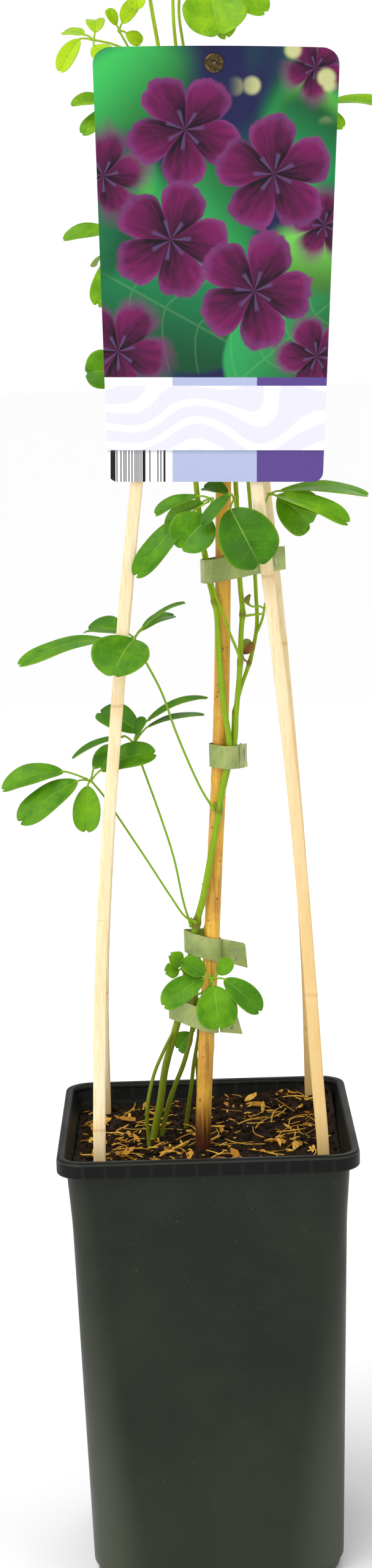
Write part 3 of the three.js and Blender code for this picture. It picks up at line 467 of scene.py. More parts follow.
RIB_SPACING = 0.0097
# A thin painted highlight along the rim's upper outer edge.
painted_lip_highlight = z.ease(0.1962, 0.1968) * z.ease(0.197, 0.1976, 0.3, 0)
ribs = bench.math("PINGPONG", along_side, RIB_SPACING / 2).ease(0.0037, 0.0046)
ribs = ribs * on_skirt * z.ease(0.1958, 0.1968, 1, 0)
rubbed = bench.noise(bench.stretch(where, (1, 1, 0.3)), 120, 5, 0.7).ease(0.62, 0.78)
dust = bench.group("specks", where, 300, 0.1)
bench.give("Base Color", bench.coats(
    bench.blend(mottle, (27, 31, 24), (38, 43, 34)),
    (z.ease(0, 0.13, 0.5, 0), (50, 55, 44)),
    (rounded, (108, 113, 96)),
    (on_skirt, (7, 9, 7)),
    (painted_lip_highlight, (84, 90, 78)),
    (ribs * 0.2, (42, 48, 44)),
    (rubbed * 0.3, (64, 68, 54)),
    (dust * 0.3, (130, 126, 100)),
))
relief = bench.noise(where, 1400, 2) * 0.12 + ribs * 0.5
bench.give("Roughness", mottle.ease(0, 1, 0.36, 0.5))
bench.give("Normal", bench.bump(relief, 0.0003, 0.8))
print(bench)

# %% [markdown]
# ## Pot
# The pot is square with rounded corners, and the corners grow wider towards the foot while the walls
# lean in. Each ring is therefore its own rounded square: a flat square whose corners are bevelled. The
# rings are then bridged in order, up the outside, under and over the skirt, and down the inside.

# %% Pot rings
POT_FOOT, POT_NECK, POT_TOP = 111.0, 118.4, 121.6
NECK_HEIGHT, SKIRT_FOOT = 166, 190.8
FOOT_CORNER, CORNER_SHRINKS, CORNER_CUTS = 25, 16, 10


def pot_wall(z):
    """Width and corner radius of the wall at a height in millimetres; above its neck it leans out more."""
    above = (z - NECK_HEIGHT) / (SKIRT_FOOT - NECK_HEIGHT)
    if above > 0:
        width = POT_NECK + (POT_TOP - POT_NECK) * above
    else:
        width = POT_FOOT + (POT_NECK - POT_FOOT) * z / NECK_HEIGHT
    return width, FOOT_CORNER - CORNER_SHRINKS * z / SKIRT_FOOT


def rounded_ring(bm, width, corner, height):
    """The edges of one rounded square that lies flat at a height."""
    level = Matrix.Translation((0, 0, height * MM))
    bmesh.ops.create_grid(bm, x_segments=1, y_segments=1, size=width / 2 * MM, matrix=level)
    bm.faces.ensure_lookup_table()
    round_corners(bm, bm.faces[0].verts[:], corner, CORNER_CUTS)
    bm.faces.ensure_lookup_table()
    ring = bm.faces[0].edges[:]
    bmesh.ops.delete(bm, geom=bm.faces[:], context="FACES_ONLY")
    return ring


bm = bmesh.new()
foot_rings = [
    (105, 23.6, 0), (106.6, 24.4, 0.3), (108.2, 25, 1.4), (109, 25, 4.4), (109.6, 25, 5.4),
    (111.1, 24.6, 6.0),
]
wall_rings = [(*pot_wall(h), h) for h in (7, 40, 80, 120, 150, 163, 169, 180, SKIRT_FOOT)]
skirt_rings = [
    (122.6, 9.4, 196.0), (127.2, 10.6, 196.0), (127.4, 10.6, 190.9), (129.0, 11.6, 190.8),
    (129.8, 12, 191.2), (130.0, 12, 192.0), (130.0, 12, 196.2), (129.7, 11.9, 197.2), (128.9, 11.5, 197.8),
    (128.0, 11.2, 198.0), (124.2, 9.4, 197.9), (123.3, 9.1, 197.6), (122.9, 9, 197.0), (122.6, 9, 195.4),
    (118.8, 8, 190.4), (118.4, 8, 189.0),
]
inside_rings = [(116.4, 9.6, 169), (115.8, 10, 163), (108.6, 23.6, 4.0), (107.0, 23, 2.6)]
rings = [rounded_ring(bm, *ring) for ring in foot_rings + wall_rings + skirt_rings + inside_rings]
for lower, upper in zip(rings, rings[1:]):
    bmesh.ops.bridge_loops(bm, edges=lower + upper)
print("pot rings:", len(rings))

# %% Drainage holes
DRAINS, DRAIN_REACH, DRAIN_RADIUS = 8, 36, 4
under, floor_ring = list(rings[0]), list(rings[-1])
for hole in range(DRAINS):
    turn = math.tau * (hole + 0.5) / DRAINS
    mouths = []
    for height in (0, inside_rings[-1][2]):
        across, along = DRAIN_REACH * MM * math.cos(turn), DRAIN_REACH * MM * math.sin(turn)
        spot = Matrix.Translation((across, along, height * MM))
        circle = bmesh.ops.create_circle(bm, segments=24, radius=DRAIN_RADIUS * MM, matrix=spot)
        mouths.append(edges_of(circle["verts"]))
    under += mouths[0]
    floor_ring += mouths[1]
    bmesh.ops.bridge_loops(bm, edges=mouths[0] + mouths[1])
for edges, normal in ((under, (0, 0, -1)), (floor_ring, (0, 0, 1))):
    bmesh.ops.triangle_fill(bm, use_beauty=True, use_dissolve=False, edges=edges, normal=normal)
pot = add_piece("pot_shell", bm, [pot_plastic], "pot_plastic", ["pot"], sharp=50)
pot.modifiers.new("even shading", "WEIGHTED_NORMAL").keep_sharp = True

# %% [markdown]
# ## Compost
# The compost is dark peat with lumps of every size. A fine grid is pressed to the pot's rounded square,
# raised to the heaped top and roughened with three sizes of noise. Its edge is then drawn down to
# the floor of the pot, so that it is a closed block like the solid that it stands for.

# %% Compost finish
compost, bench = new_finish("damp peat", 0.92, specular=0.2)
where = bench.place()
lumps = bench.noise(where, 320, 5, 0.65)
earth = bench.blend(lumps.ease(0.36, 0.7), (14, 8, 3), (62, 38, 10))
damp = bench.group("mottling", where, 70)
bench.give("Base Color", bench.blend(damp * 0.55, earth, (30, 17, 6)))
bench.give("Normal", bench.bump(lumps + bench.cells(where, 900) * 0.4, 0.0012))
print(bench)

# %% Compost block
SOIL_HALF, SOIL_CORNER = 58.7, 7.8
SOIL_FOOT, SOIL_FOOT_HALF, SOIL_FOOT_CORNER = 3, 53.0, 23.0
SOIL_SQUARES = 132


def soil_top(x, y):
    """Height of the compost's smooth top in millimetres: heaped to the back right and the left corner."""
    back = max(y, 0) / 60.8
    front = max(-y - 20, 0) / 40
    left_corner = math.exp(-((x + 52) ** 2 + (y + 40) ** 2) / 260)
    return 187 + 3.4 * back + 5.2 * back * x / 60 + 1.2 * front + 3.2 * left_corner


def soil_lumps(x, y):
    """Roughness of the top in millimetres, as three sizes of lump."""
    spot = Vector((x, y, 3))
    broad = noise.noise(spot / 13) * 1.5
    middle = noise.noise(spot / 4.6 + Vector((9, 2, 0))) * 1.1
    return broad + middle + noise.noise(spot / 1.9 + Vector((4, 7, 0))) * 0.5


def into_pot(x, y, half=SOIL_HALF, corner=SOIL_CORNER):
    """The point moved inside a rounded square, as the pot's wall is at some height."""
    reach = half - corner
    out = Vector((max(abs(x) - reach, 0), max(abs(y) - reach, 0)))
    if min(out) > 0 and out.length > corner:
        out *= corner / out.length
        x, y = math.copysign(reach + out.x, x), math.copysign(reach + out.y, y)
    return x, y


bm = bmesh.new()
bmesh.ops.create_grid(bm, x_segments=SOIL_SQUARES, y_segments=SOIL_SQUARES, size=SOIL_HALF)
rim_edges = [e for e in bm.edges if e.is_boundary]
for v in bm.verts:
    x, y = into_pot(v.co.x, v.co.y)
    v.co = mm((x, y, soil_top(x, y) + soil_lumps(x, y)))
low, low_edges = extrude_loop(bm, rim_edges)
for v in low:
    x, y, _ = v.co / MM * (SOIL_FOOT_HALF / SOIL_HALF)
    v.co = mm((*into_pot(x, y, SOIL_FOOT_HALF, SOIL_FOOT_CORNER), SOIL_FOOT))
bmesh.ops.contextual_create(bm, geom=low_edges)
add_piece("compost_bed", bm, [compost], "compost", ["soil"])

# %% [markdown]
# ## Paths of the plant
# Everything that stands in the compost follows a list of points in millimetres. They are the same points
# that the solids follow, so the finer pieces fall where the solids are.

# %% Paths
CANE_PATH = [
    (-3.4, -13.6, 62), (-2.8, -13, 116), (-2.3, -12.5, 160), (-2, -12.2, 187), (1, -11.7, 237),
    (4, -11.2, 274), (7.1, -10.6, 319), (10.9, -9.9, 372), (13.3, -9.2, 425), (15, -8.4, 477),
    (17.4, -7.2, 545), (18.2, -6.8, 572),
]
SLAT_PATHS = {
    "slat_front_left": [
        (-47.4, -46.6, 150), (-46.7, -45.4, 193), (-45.4, -42.4, 234), (-43.7, -39.7, 271),
        (-39.6, -35.9, 324), (-35.6, -33, 363), (-28.7, -28.3, 428), (-22.1, -24.8, 479), (-14, -22.4, 530),
        (-2.6, -19.6, 590), (15.7, -16.6, 653.7), (17.8, -16.4, 659.4),
    ],
    "slat_front_right": [
        (50.6, -46.6, 150), (49.8, -45.4, 193), (47.8, -42.8, 229), (45.9, -39.9, 269), (42.9, -36.1, 322),
        (38.9, -32.2, 374), (34, -28.4, 426), (29.1, -24.8, 478), (24.8, -21.4, 530), (20.6, -17.6, 590),
        (15.7, -13.7, 653.7), (15.2, -13.6, 659.4),
    ],
    "slat_rear_right": [
        (49.4, 50.2, 150), (49, 49, 189), (48.4, 42, 250), (46.1, 34.6, 309), (42.4, 27.4, 365),
        (38.3, 20.2, 421), (36.2, 17, 446), (30.4, 9.4, 510), (23.8, 0.4, 580), (15.7, -10.8, 653.7),
        (15.1, -10.7, 659.4),
    ],
    "slat_rear_left": [
        (-47.2, 50.2, 150), (-46.7, 49, 189), (-45.6, 42, 250), (-41.4, 34.6, 309), (-36, 27.4, 365),
        (-29.6, 20.6, 421), (-19.4, 12, 500), (-6, 3.4, 575), (15.7, -7.9, 653.7), (17.6, -7.8, 659.4),
    ],
}
MAIN_STEM = [
    (-24.5, 0.5, 172), (-24, 3, 187), (-20.4, 0.4, 205), (-17.6, -2.4, 222), (-13.4, -4.4, 237),
    (-9.4, -6, 251), (-6.4, -8, 264), (-4.2, -9.6, 278), (-1.8, -12.6, 290), (1, -15.2, 300),
    (3.2, -16.4, 310), (5.2, -17, 320), (8, -17, 333), (10.3, -16.6, 346), (12.8, -16, 357),
    (14.4, -15.4, 363.5), (14.4, -15.4, 371), (13.2, -15.8, 380), (12, -16, 392), (11, -15.6, 411),
    (10.4, -15, 427), (8.2, -12.8, 437), (6.4, -10.6, 448), (3.4, -9, 480), (1.4, -9.4, 530),
    (-0.6, -9.6, 580), (-3, -9, 620), (-6.8, -5.4, 660), (-9.4, -3, 678), (-11.6, -2.6, 698),
    (-10.6, -1, 724),
]
MAIN_BRANCH_RIGHT = [
    (14.2, -15.4, 361), (16.8, -13.8, 369), (17.8, -13.2, 381), (20, -12.2, 401), (21, -11.2, 417),
    (21.8, -10.2, 425), (21.2, -9.2, 435), (20.8, -8.2, 446), (20.4, -5, 480), (16.6, 0.6, 530),
    (11.6, 3.6, 580), (6.6, 3.6, 625), (0.4, 1.2, 662), (-0.4, 1, 684), (2, 2, 704), (5.4, 3, 726),
]
MAIN_BRANCH_THIN = [
    (20.2, -12.1, 403), (19.6, -14.2, 407), (16.6, -18, 415), (12.8, -18.6, 426), (9.4, -17.4, 437),
    (6.8, -15.6, 452),
]
TWIG_ON_BRANCH = [(21.6, -10.6, 423), (25, -11.6, 423.6), (30, -11.8, 424)]
CURLED_BUD = [
    (30.4, -11.9, 424.2), (31, -12.2, 426), (29, -12.4, 427.4), (26, -12.8, 427.4), (24.2, -13, 428.8),
    (23.8, -13, 430.4), (25.2, -13, 432.6),
]
TWIG_ON_SECOND = [(27.4, -2.8, 414), (30.4, -4, 421), (31.8, -4.6, 428)]
SHOOT_FRONT = [
    (-26.4, -8, 172), (-26, -5.6, 188), (-26.2, -9.6, 205), (-22.6, -9.4, 221), (-18, -7.6, 231),
    (-12.4, -4.9, 241),
]
SECOND_STEM = [
    (-21, 6, 172), (-20.6, 5.4, 187), (-14.4, 2.6, 210), (-9.4, 0.2, 223), (-5.6, -2.2, 237),
    (-3.6, -3.2, 249), (-2.4, -3.4, 262), (-0.6, -3.6, 277), (4, -4.4, 292), (6.6, -4, 317),
    (10.4, -3.4, 341), (13.6, -5, 354), (15.8, -7.6, 363.5), (16.4, -7.4, 371), (17.4, -4.6, 381),
    (20.6, -3.6, 392), (25, -3.2, 404), (28, -2.4, 418), (28, -2, 432), (27.6, -1.6, 446), (26, 2.4, 480),
    (21.4, 6.6, 530), (15.2, 8.6, 580), (9, 7.6, 630), (3.4, 5.6, 664), (2, 4.8, 680), (5.4, 6.6, 698),
]
SHOOT_BEHIND = [(-19.6, 15, 172), (-19.4, 13.6, 188), (-16.6, 9.2, 204), (-12, 3.6, 216), (-9.2, 0.2, 224)]
THIRD_STEM = [
    (-9.6, 19, 172), (-9.4, 17.6, 187), (-6.6, 9.4, 208), (-4.8, 5.2, 222), (-2.4, 2.6, 235),
    (-0.8, 1, 249), (1.2, 0.8, 264), (2.4, 0.6, 277), (2.8, 1.4, 292), (1.6, 3, 304),
]
THIRD_SHOOT = [(-3.6, 22, 172), (-3.8, 20.4, 188), (-3.4, 12.6, 206), (-3.6, 6.4, 220), (-3.8, 4, 228)]
print("slat paths:", len(SLAT_PATHS))

# %% [markdown]
# ## Crumbs, chips and straw
# What makes compost look real is what lies on it: crumbs, golden wood chips and husks, straw and fine
# roots. Hundreds of small pieces need few faces each, so most crumbs are jittered balls of twenty faces,
# and a husk is a ball that is pulled long and folded like a boat. They stay clear of what stands in the
# pot. Both kinds of chance start from one seed, so every run pours the same compost.

# %% What to keep clear of
SEED, SOIL_LEVEL = 7, 189
random.seed(SEED)
noise.seed_set(SEED)
standing = [(path, 4.4) for path in SLAT_PATHS.values()]
standing += [(CANE_PATH, 4.6), (MAIN_STEM, 2.6), (SHOOT_FRONT, 1.8), (SECOND_STEM, 2.0), (SHOOT_BEHIND, 1.8)]
standing += [(THIRD_STEM, 2.0), (THIRD_SHOOT, 1.8)]
STANDING = [(at_height(path, SOIL_LEVEL).xy, clear) for path, clear in standing]


def free_spot(margin, reach):
    """A random spot on the compost, in millimetres, away from the wall and from what stands in it."""
    while True:
        spread = SOIL_HALF - margin
        spot = Vector((random.uniform(-spread, spread), random.uniform(-spread, spread)))
        if all((spot - foot).length > clear + reach for foot, clear in STANDING):
            return spot


print("kept clear:", len(STANDING), "places")

# %% Chip finish
chip_wood, bench = new_finish("wood chips", 0.62, specular=0.15)
where = bench.place()
streak = bench.cells(where, 1900)
stain = bench.noise(where, 420).ease(0.5, 0.7)
bench.give("Base Color", bench.coats(
    bench.blend(bench.attribute("tone"), (158, 92, 12), (255, 206, 84)),
    (streak.ease(0.3, 0.7) * 0.3, (186, 122, 34)),
    (stain * 0.5, (84, 46, 12)),
))
bench.give("Normal", bench.bump(streak, 0.0004, 0.7))
print(bench)

# %% Crumbs
CRUMBS = 1900


def pour(pile, grain, seat):
    """Adds one small mesh to a pile; a grain of its own is quick to shape, a large pile is not."""
    grain.transform(seat)
    scrap = bpy.data.meshes.new("grain")
    grain.to_mesh(scrap)
    grain.free()
    pile.from_mesh(scrap)
    bpy.data.meshes.remove(scrap)


def seat_at(spot, height, turn):
    """Moves a grain that is drawn in millimetres to its turned place on the compost."""
    return Matrix.Translation(mm((*spot, height))) @ turn.to_matrix().to_4x4()


pile = bmesh.new()
for i in range(CRUMBS):
    large = i % 4 == 0
    size = random.uniform(1.1, 2.6) if large else random.uniform(0.5, 1.1)
    spot = free_spot(2.5, size - 1.6)
    height = soil_top(*spot) + soil_lumps(*spot) + size * 0.15
    turn = Euler([random.uniform(0, math.tau) for _ in range(3)])
    shape = Matrix.Diagonal((size, size * random.uniform(0.6, 0.95), size * random.uniform(0.5, 0.8), 1))
    grain = bmesh.new()
    bmesh.ops.create_icosphere(grain, subdivisions=2 if large else 1, radius=1)
    for v in grain.verts:
        v.co += noise.noise_vector(v.co * 1.3 + Vector((i, 0, 0))) * 0.4
    pour(pile, grain, seat_at(spot, height, turn) @ shape @ Matrix.Scale(MM, 4))
add_piece("compost_crumbs", pile, [compost], "compost")

# %% Chips and husks
LONG_CHIPS, SMALL_HUSKS = 72, 170
pile = bmesh.new()
pile.verts.layers.float.new("tone")


def lay_chip(long, wide, thick, fold, lift):
    """A husk or chip on the compost: a ball pulled long, flattened and folded along its length."""
    spot = free_spot(long * 0.5 + 1.2, wide * 0.6)
    turn = Euler((random.uniform(-0.6, 0.6), random.uniform(-0.45, 0.45), random.uniform(0, math.tau)))
    grain = bmesh.new()
    tone_layer = grain.verts.layers.float.new("tone")
    bmesh.ops.create_icosphere(grain, subdivisions=2, radius=1)
    tone = random.betavariate(1.3, 1.3)
    curl = random.uniform(-0.12, 0.2)
    for v in grain.verts:
        along, across = v.co.x, v.co.y
        v.co.x = along * long / 2
        v.co.y = across * wide / 2 * (1 - 0.45 * along * along)
        v.co.z = v.co.z * thick / 2 + abs(across) * fold + curl * along * along * long / 2
        v.co += noise.noise_vector(v.co * 0.7 + Vector((long, wide, 5))) * wide * 0.12
        v[tone_layer] = tone
    height = soil_top(*spot) + soil_lumps(*spot) * 0.6 + lift
    pour(pile, grain, seat_at(spot, height, turn) @ Matrix.Scale(MM, 4))


for _ in range(LONG_CHIPS):
    long, wide = random.uniform(6, 12.5), random.uniform(1.6, 3.8)
    lay_chip(long, wide, random.uniform(0.8, 1.3), random.uniform(0, 0.9), 1.2)
for _ in range(SMALL_HUSKS):
    lay_chip(random.uniform(2, 5.5), random.uniform(0.8, 2), 0.6, 0.15, 1)
add_piece("wood_chips", pile, [chip_wood], "compost", sharp=60)

# %% Straw and fine roots
STRAWS = 110
bm = bmesh.new()
tone_layer = bm.verts.layers.float.new("tone")
for i in range(STRAWS):
    long = random.uniform(6, 21)
    spot = free_spot(long * 0.5 + 1, 2.4)
    turn = random.uniform(0, math.tau)
    ray = Vector((math.cos(turn), math.sin(turn)))
    side = Vector((-ray.y, ray.x)) * random.uniform(-0.25, 0.25) * long
    rise = random.uniform(0.2, 1.4) if i % 9 else random.uniform(3, 6)
    points = []
    for share, bow in ((-0.5, 0), (-0.2, 0.8), (0.15, 1), (0.5, 0.2)):
        x, y = spot + ray * long * share + side * bow
        points.append(mm((x, y, soil_top(x, y) + 0.9 + rise * (share + 0.5) * (1.2 - share))))
    line = bend_through(points, 3)
    thick = random.uniform(0.16, 0.36) * MM
    tone = random.uniform(0.25, 1)
    for v in sweep(bm, line, [thick * (1.1 - 0.5 * s) for s in shares_along(line)], 5):
        v[tone_layer] = tone
add_piece("straw_and_roots", bm, [chip_wood], "compost", sharp=60)

# %% [markdown]
# ## Bamboo
# The cane and the slats are the same plant at two ages. The cane keeps its skin: golden brown, with dark
# streaks, specks and low rings where its joints were, and damp and almost red at the foot. The slats are
# split out of pale wood, so they show straight fibres and a faint knuckle where a joint ran through.

# %% Cane finish
cane_skin, bench = new_finish("cane skin")
where = bench.place()
height = bench.axes(where)[2]
fibre = bench.group("fibres", where, 900, 9)
cloud = bench.group("mottling", where, 60)
weathered = bench.group("fibres", bench.stretch(where, shift=(3, 1, 2)), 300, 14).ease(0.62, 0.95)
damp_foot = (height + fibre * 0.012).ease(0.196, 0.222, 1, 0)
speck = bench.group("specks", where, 420, 0.3)
bench.give("Base Color", bench.coats(
    bench.blend(cloud, (218, 154, 28), (248, 196, 64)),
    (fibre * 0.4, (158, 102, 34)),
    (weathered * 0.5, (116, 80, 30)),
    (damp_foot, (72, 32, 14)),
    (speck * 0.8, (58, 34, 20)),
))
bench.give("Roughness", cloud.ease(0, 1, 0.34, 0.52))
bench.give("Normal", bench.bump(fibre, 0.00012, 0.6))
print(bench)

# %% Cane
CANE_JOINTS = (233.5, 352.0, 458.0)
CANE_RADIUS, CANE_TAPER, CANE_WALL, CANE_HOLLOW = 3.5, 0.2, 2.2, 0.6


def cane_radius(share, z):
    """The cane tapers a little, and swells and pinches at each old joint."""
    radius = CANE_RADIUS - CANE_TAPER * share
    for joint in CANE_JOINTS:
        off = z - joint
        radius += 0.22 * math.exp(-((off / 1.6) ** 2)) - 0.12 * math.exp(-(((off + 2.6) / 0.7) ** 2))
    return radius * MM


bm = bmesh.new()
line = bend_through([mm(p) for p in CANE_PATH], 14)
sweep(bm, line, [cane_radius(s, p.z / MM) for s, p in zip(shares_along(line), line)], 28)
ends = [f for f in bm.faces if len(f.verts) > 4]
bmesh.ops.inset_individual(bm, faces=ends, thickness=CANE_WALL * MM, depth=-CANE_HOLLOW * MM)
add_piece("cane_rod", bm, [cane_skin], "cane_bamboo", ["cane"], sharp=50)

# %% Slat finish
slat_wood, bench = new_finish("split bamboo", 0.58)
where = bench.place()
from_left, _, height = bench.axes(where)
fibre = bench.group("fibres", where, 1100, 3)
band = bench.group("fibres", where, 330, 2)
# The slats on the right are more golden, most of all towards their foot.
golden_lower_right = from_left.ease(0.02, 0.045, 0, 0.8) * height.ease(0.22, 0.5, 1, 0)
from_joint = abs(bench.attribute("from_joint") + fibre * 0.8)
stained = from_joint.ease(1, 7, 0.42, 0)
spots = bench.group("specks", where, 900, 0.4)
bench.give("Base Color", bench.coats(
    bench.blend(band, (247, 231, 196), (240, 213, 160)),
    (fibre.ease(0.55, 0.95) * 0.3, (206, 162, 96)),
    (golden_lower_right, (222, 182, 106)),
    # Painted shade: near the compost the slats are painted darker and more golden, where the pot's rim
    # shadows them.
    (height.ease(0.188, 0.215, 0.45, 0), (228, 188, 116)),
    (from_joint.ease(0.35, 1.1, 1, 0) * 0.45, (176, 120, 62)),
    (spots * stained * 1.6, (150, 92, 44)),
    (stained, (236, 204, 142)),
))
bench.give("Normal", bench.bump(fibre, 0.00014, 0.7))
print(bench)

# %% Slats
SLAT_WIDE, SLAT_THICK, SLAT_CORNER = 5.3, 2.6, 0.7
SLAT_JOINTS = {
    "slat_front_left": (207, 389), "slat_front_right": (263, 442), "slat_rear_right": (226, 408),
    "slat_rear_left": (247, 430),
}


def bump_at(z, joints, reach):
    """1 at each joint's height, falling off smoothly; heights in millimetres."""
    return sum(math.exp(-(((z - joint) / reach) ** 2)) for joint in joints)


for name, path in SLAT_PATHS.items():
    bm = bmesh.new()
    mark = bm.verts.layers.float.new("from_joint")
    bmesh.ops.create_grid(bm, x_segments=1, y_segments=1, size=0.5)
    bmesh.ops.scale(bm, vec=(SLAT_WIDE * MM, SLAT_THICK * MM, 1), verts=bm.verts)
    round_corners(bm, bm.verts[:], SLAT_CORNER, 3)
    ring = bm.edges[:]
    bmesh.ops.delete(bm, geom=bm.faces[:], context="FACES_ONLY")
    places = []
    for point in bend_through([mm(p) for p in path], 7):
        swell = bump_at(point.z / MM, SLAT_JOINTS[name], 3)
        wide = 1 + 0.03 * noise.noise(point * 30) + 0.035 * swell
        places.append(Matrix.Translation(point) @ Matrix.Diagonal((wide, 1 + 0.06 * swell, 1, 1)))
    bmesh.ops.transform(bm, matrix=places[0], verts=bm.verts)
    extrude_rings(bm, ring, places)
    for v in bm.verts:
        v[mark] = min((v.co.z / MM - joint for joint in SLAT_JOINTS[name]), key=abs)
    add_piece(name + "_strip", bm, [slat_wood], "slat_bamboo", [name], sharp=38)

# %% [markdown]
# ## Rivet
# A tubular rivet holds the label to the slats. Like every turned thing it is half a profile, spun round
# its axis: a rolled head in front, a shank, and a clinched ring behind.

# %% Rivet
bronze, bench = new_finish("darkened bronze", metallic=1)
where = bench.place()
tarnish = bench.group("mottling", where, 700)
bench.give("Base Color", bench.blend(tarnish, (46, 37, 24), (112, 94, 64)))
bench.give("Roughness", tarnish.ease(0, 1, 0.5, 0.26))
bench.give("Normal", bench.bump(bench.noise(where, 2600), 0.0001, 0.6))
print(bench)

RIVET_X, RIVET_Z = 15.7, 653.7
profile = [
    (0.9, -19.3), (1.0, -19.9), (1.5, -20.25), (2.3, -20.3), (3.1, -20.2), (3.7, -19.95), (4.0, -19.65),
    (3.95, -19.42), (3.6, -19.4), (1.5, -19.4), (1.5, -5.1), (3.0, -5.1), (3.1, -4.8), (2.7, -4.4),
    (2.1, -4.2), (1.5, -4.2), (1.0, -4.5), (0.9, -4.9),
]
bm = bmesh.new()
verts, edges = closed_outline(bm, [(RIVET_X + r, y, RIVET_Z) for r, y in profile])
bmesh.ops.spin(
    bm, geom=verts + edges, cent=mm((RIVET_X, 0, RIVET_Z)), axis=(0, 1, 0), angle=math.tau, steps=40,
    use_merge=True, use_duplicate=False,
)
bmesh.ops.remove_doubles(bm, verts=bm.verts, dist=1e-6)
add_piece("rivet_eyelet", bm, [bronze], "rivet_metal", ["rivet"], sharp=50)

# %% [markdown]
# ## Label print
# The label is a glossy card printed edge to edge: a blurred garden picture with purple blossoms, then
# thin colour bars, a lilac panel, and a foot with plain bars. The picture is drawn with nodes. A blossom is a
# group: the distance to its centre is compared with a petal outline that swings round it five
# times. The card's own flat coordinates, in decimetres from the rivet, carry the print.

# %% Blossom group
PRINT_NUMBERS = ["Right", "Up", "Size", "Turn", "Soft"]
PETALS, STAMENS = 5, 7
bench, given = new_group("blossom", PRINT_NUMBERS, ["Petals", "Shade", "Rim", "Stamens"])
flat, right_of, up_of, size, turn, soft = given
across, along, _ = bench.axes(flat)
dx, dy = across - right_of, along - up_of
waver = bench.noise(flat, 11, 2) * 0.34 + 0.83
reach = bench.math("SQRT", dx * dx + dy * dy) / size * waver
angle = bench.math("ARCTAN2", dy, dx) + turn
swing = abs(bench.math("COSINE", angle * (PETALS / 2)))
over = reach - (swing**0.42 * 0.5 + 0.5)
bench.give("Petals", over.ease(soft * -1, soft, 1, 0))
bench.give("Rim", over.ease(-0.2, -0.02))
overlap = bench.math("FRACT", angle * (PETALS / math.tau) + 0.5)
streaks = bench.noise(bench.value("CombineXYZ", {0: angle * 3, 1: reach}), 2.2)
bench.give("Shade", reach.ease(0.1, 0.9) * 0.5 + streaks.ease(0.3, 0.7) * 0.3 + (overlap - 0.5) * 0.5)
ray = abs(bench.math("SINE", angle * (STAMENS / 2)))
bench.give("Stamens", ray.ease(0.86, 0.97) * reach.ease(0.3, 0.36, 1, 0))
print(bench)

# %% Leaf shape group for the picture
bench, given = new_group("printed leaf", PRINT_NUMBERS, ["Blade", "Vein", "Shade"])
flat, right_of, up_of, size, turn, soft = given
across, along, _ = bench.axes(flat)
dx, dy = across - right_of, along - up_of
cosine, sine = bench.math("COSINE", turn), bench.math("SINE", turn)
fore = (dx * cosine + dy * sine) / size
side = (dy * cosine - dx * sine) / (size * 0.66)
over = bench.math("SQRT", fore * fore + side * side) - 1
bench.give("Shade", (side - fore * 0.5).ease(-1.2, 1.2))
bench.give("Blade", over.ease(soft * -1, soft, 1, 0))
lines = bench.math("PINGPONG", fore * 2.3 - abs(side) ** 1.6, 0.5)
bench.give("Vein", bench.math("MAXIMUM", lines.ease(0, 0.05, 1, 0), abs(side).ease(0, 0.04, 1, 0)))
print(bench)

# %% Label finish: the picture's ground
card, bench = new_finish("printed card", specular=0.3)
flat = bench.map("print")
across, along, _ = bench.axes(flat)
blur = bench.noise(bench.stretch(flat, (1, 0.8, 1), (0.4, 0.15, 0)), 2.1, 1, 0.4, 0.8)
picture = bench.ramp(
    blur, (0.45, (27, 29, 72)), (0.5, (22, 54, 72)), (0.545, (14, 90, 56)), (0.63, (40, 148, 74)),
    (0.72, (96, 180, 66)),
)
PRINTED_LEAVES = [
    (-0.36, -0.1, 0.28, 0.5, 0.3, (52, 166, 78)), (0.4, -0.3, 0.22, 2.2, 0.35, (26, 122, 66)),
    (-0.2, -1.0, 0.36, -0.5, 0.05, (20, 112, 66)), (0.32, -1.12, 0.32, 0.7, 0.04, (38, 136, 74)),
    (0.0, -0.62, 0.25, 1.9, 0.25, (40, 152, 78)), (0.44, -0.8, 0.2, -0.3, 0.3, (98, 176, 66)),
    (-0.44, -0.7, 0.2, 1.0, 0.3, (22, 104, 64)),
]
DARKER, LIGHTER, IN_FOCUS = 0.62, 1.16, 0.1
for *numbers, soft, colour in PRINTED_LEAVES:
    leaf = bench.group("printed leaf", flat, *numbers, soft)
    dark, light = (tuple(c * share for c in colour) for share in (DARKER, LIGHTER))
    blade = bench.blend(leaf["Shade"], dark, light)
    if soft < IN_FOCUS:
        blade = bench.blend(leaf["Vein"] * 0.1, blade, (170, 214, 140))
    picture = bench.blend(leaf["Blade"], picture, blade)
print(bench)

# %% Label finish: the blossoms
BLOSSOMS = [
    (0.42, -0.02, 0.14, 0.4, 0.3), (-0.46, -0.46, 0.19, 1.1, 0.3), (-0.4, -1.18, 0.22, 0.2, 0.22),
    (0.46, -0.66, 0.15, 0.9, 0.3), (0.43, -1.2, 0.17, 0.6, 0.16), (-0.12, -0.27, 0.24, 0.35, 0.03),
    (0.25, -0.45, 0.25, 0.9, 0.03), (-0.18, -0.72, 0.25, 1.3, 0.03), (0.17, -0.93, 0.25, 0.1, 0.03),
]
for numbers in BLOSSOMS:
    flower = bench.group("blossom", flat, *numbers)
    petal = bench.coats(
        bench.blend(flower["Shade"], (18, 4, 20), (124, 22, 92)),
        (flower["Rim"] * 0.32, (132, 80, 142)),
        (flower["Stamens"], (86, 58, 100)),
    )
    picture = bench.blend(flower["Petals"], picture, petal)
spots_of_light = bench.cells(bench.stretch(flat, shift=(0.3, 0.2, 0)), 7.5)
in_corner = across.ease(0.05, 0.2) * along.ease(-0.26, -0.16)
glow = spots_of_light.ease(0.2, 0.36, 0.75, 0) * in_corner
picture = bench.blend(glow, picture, (214, 218, 150))
print(bench)

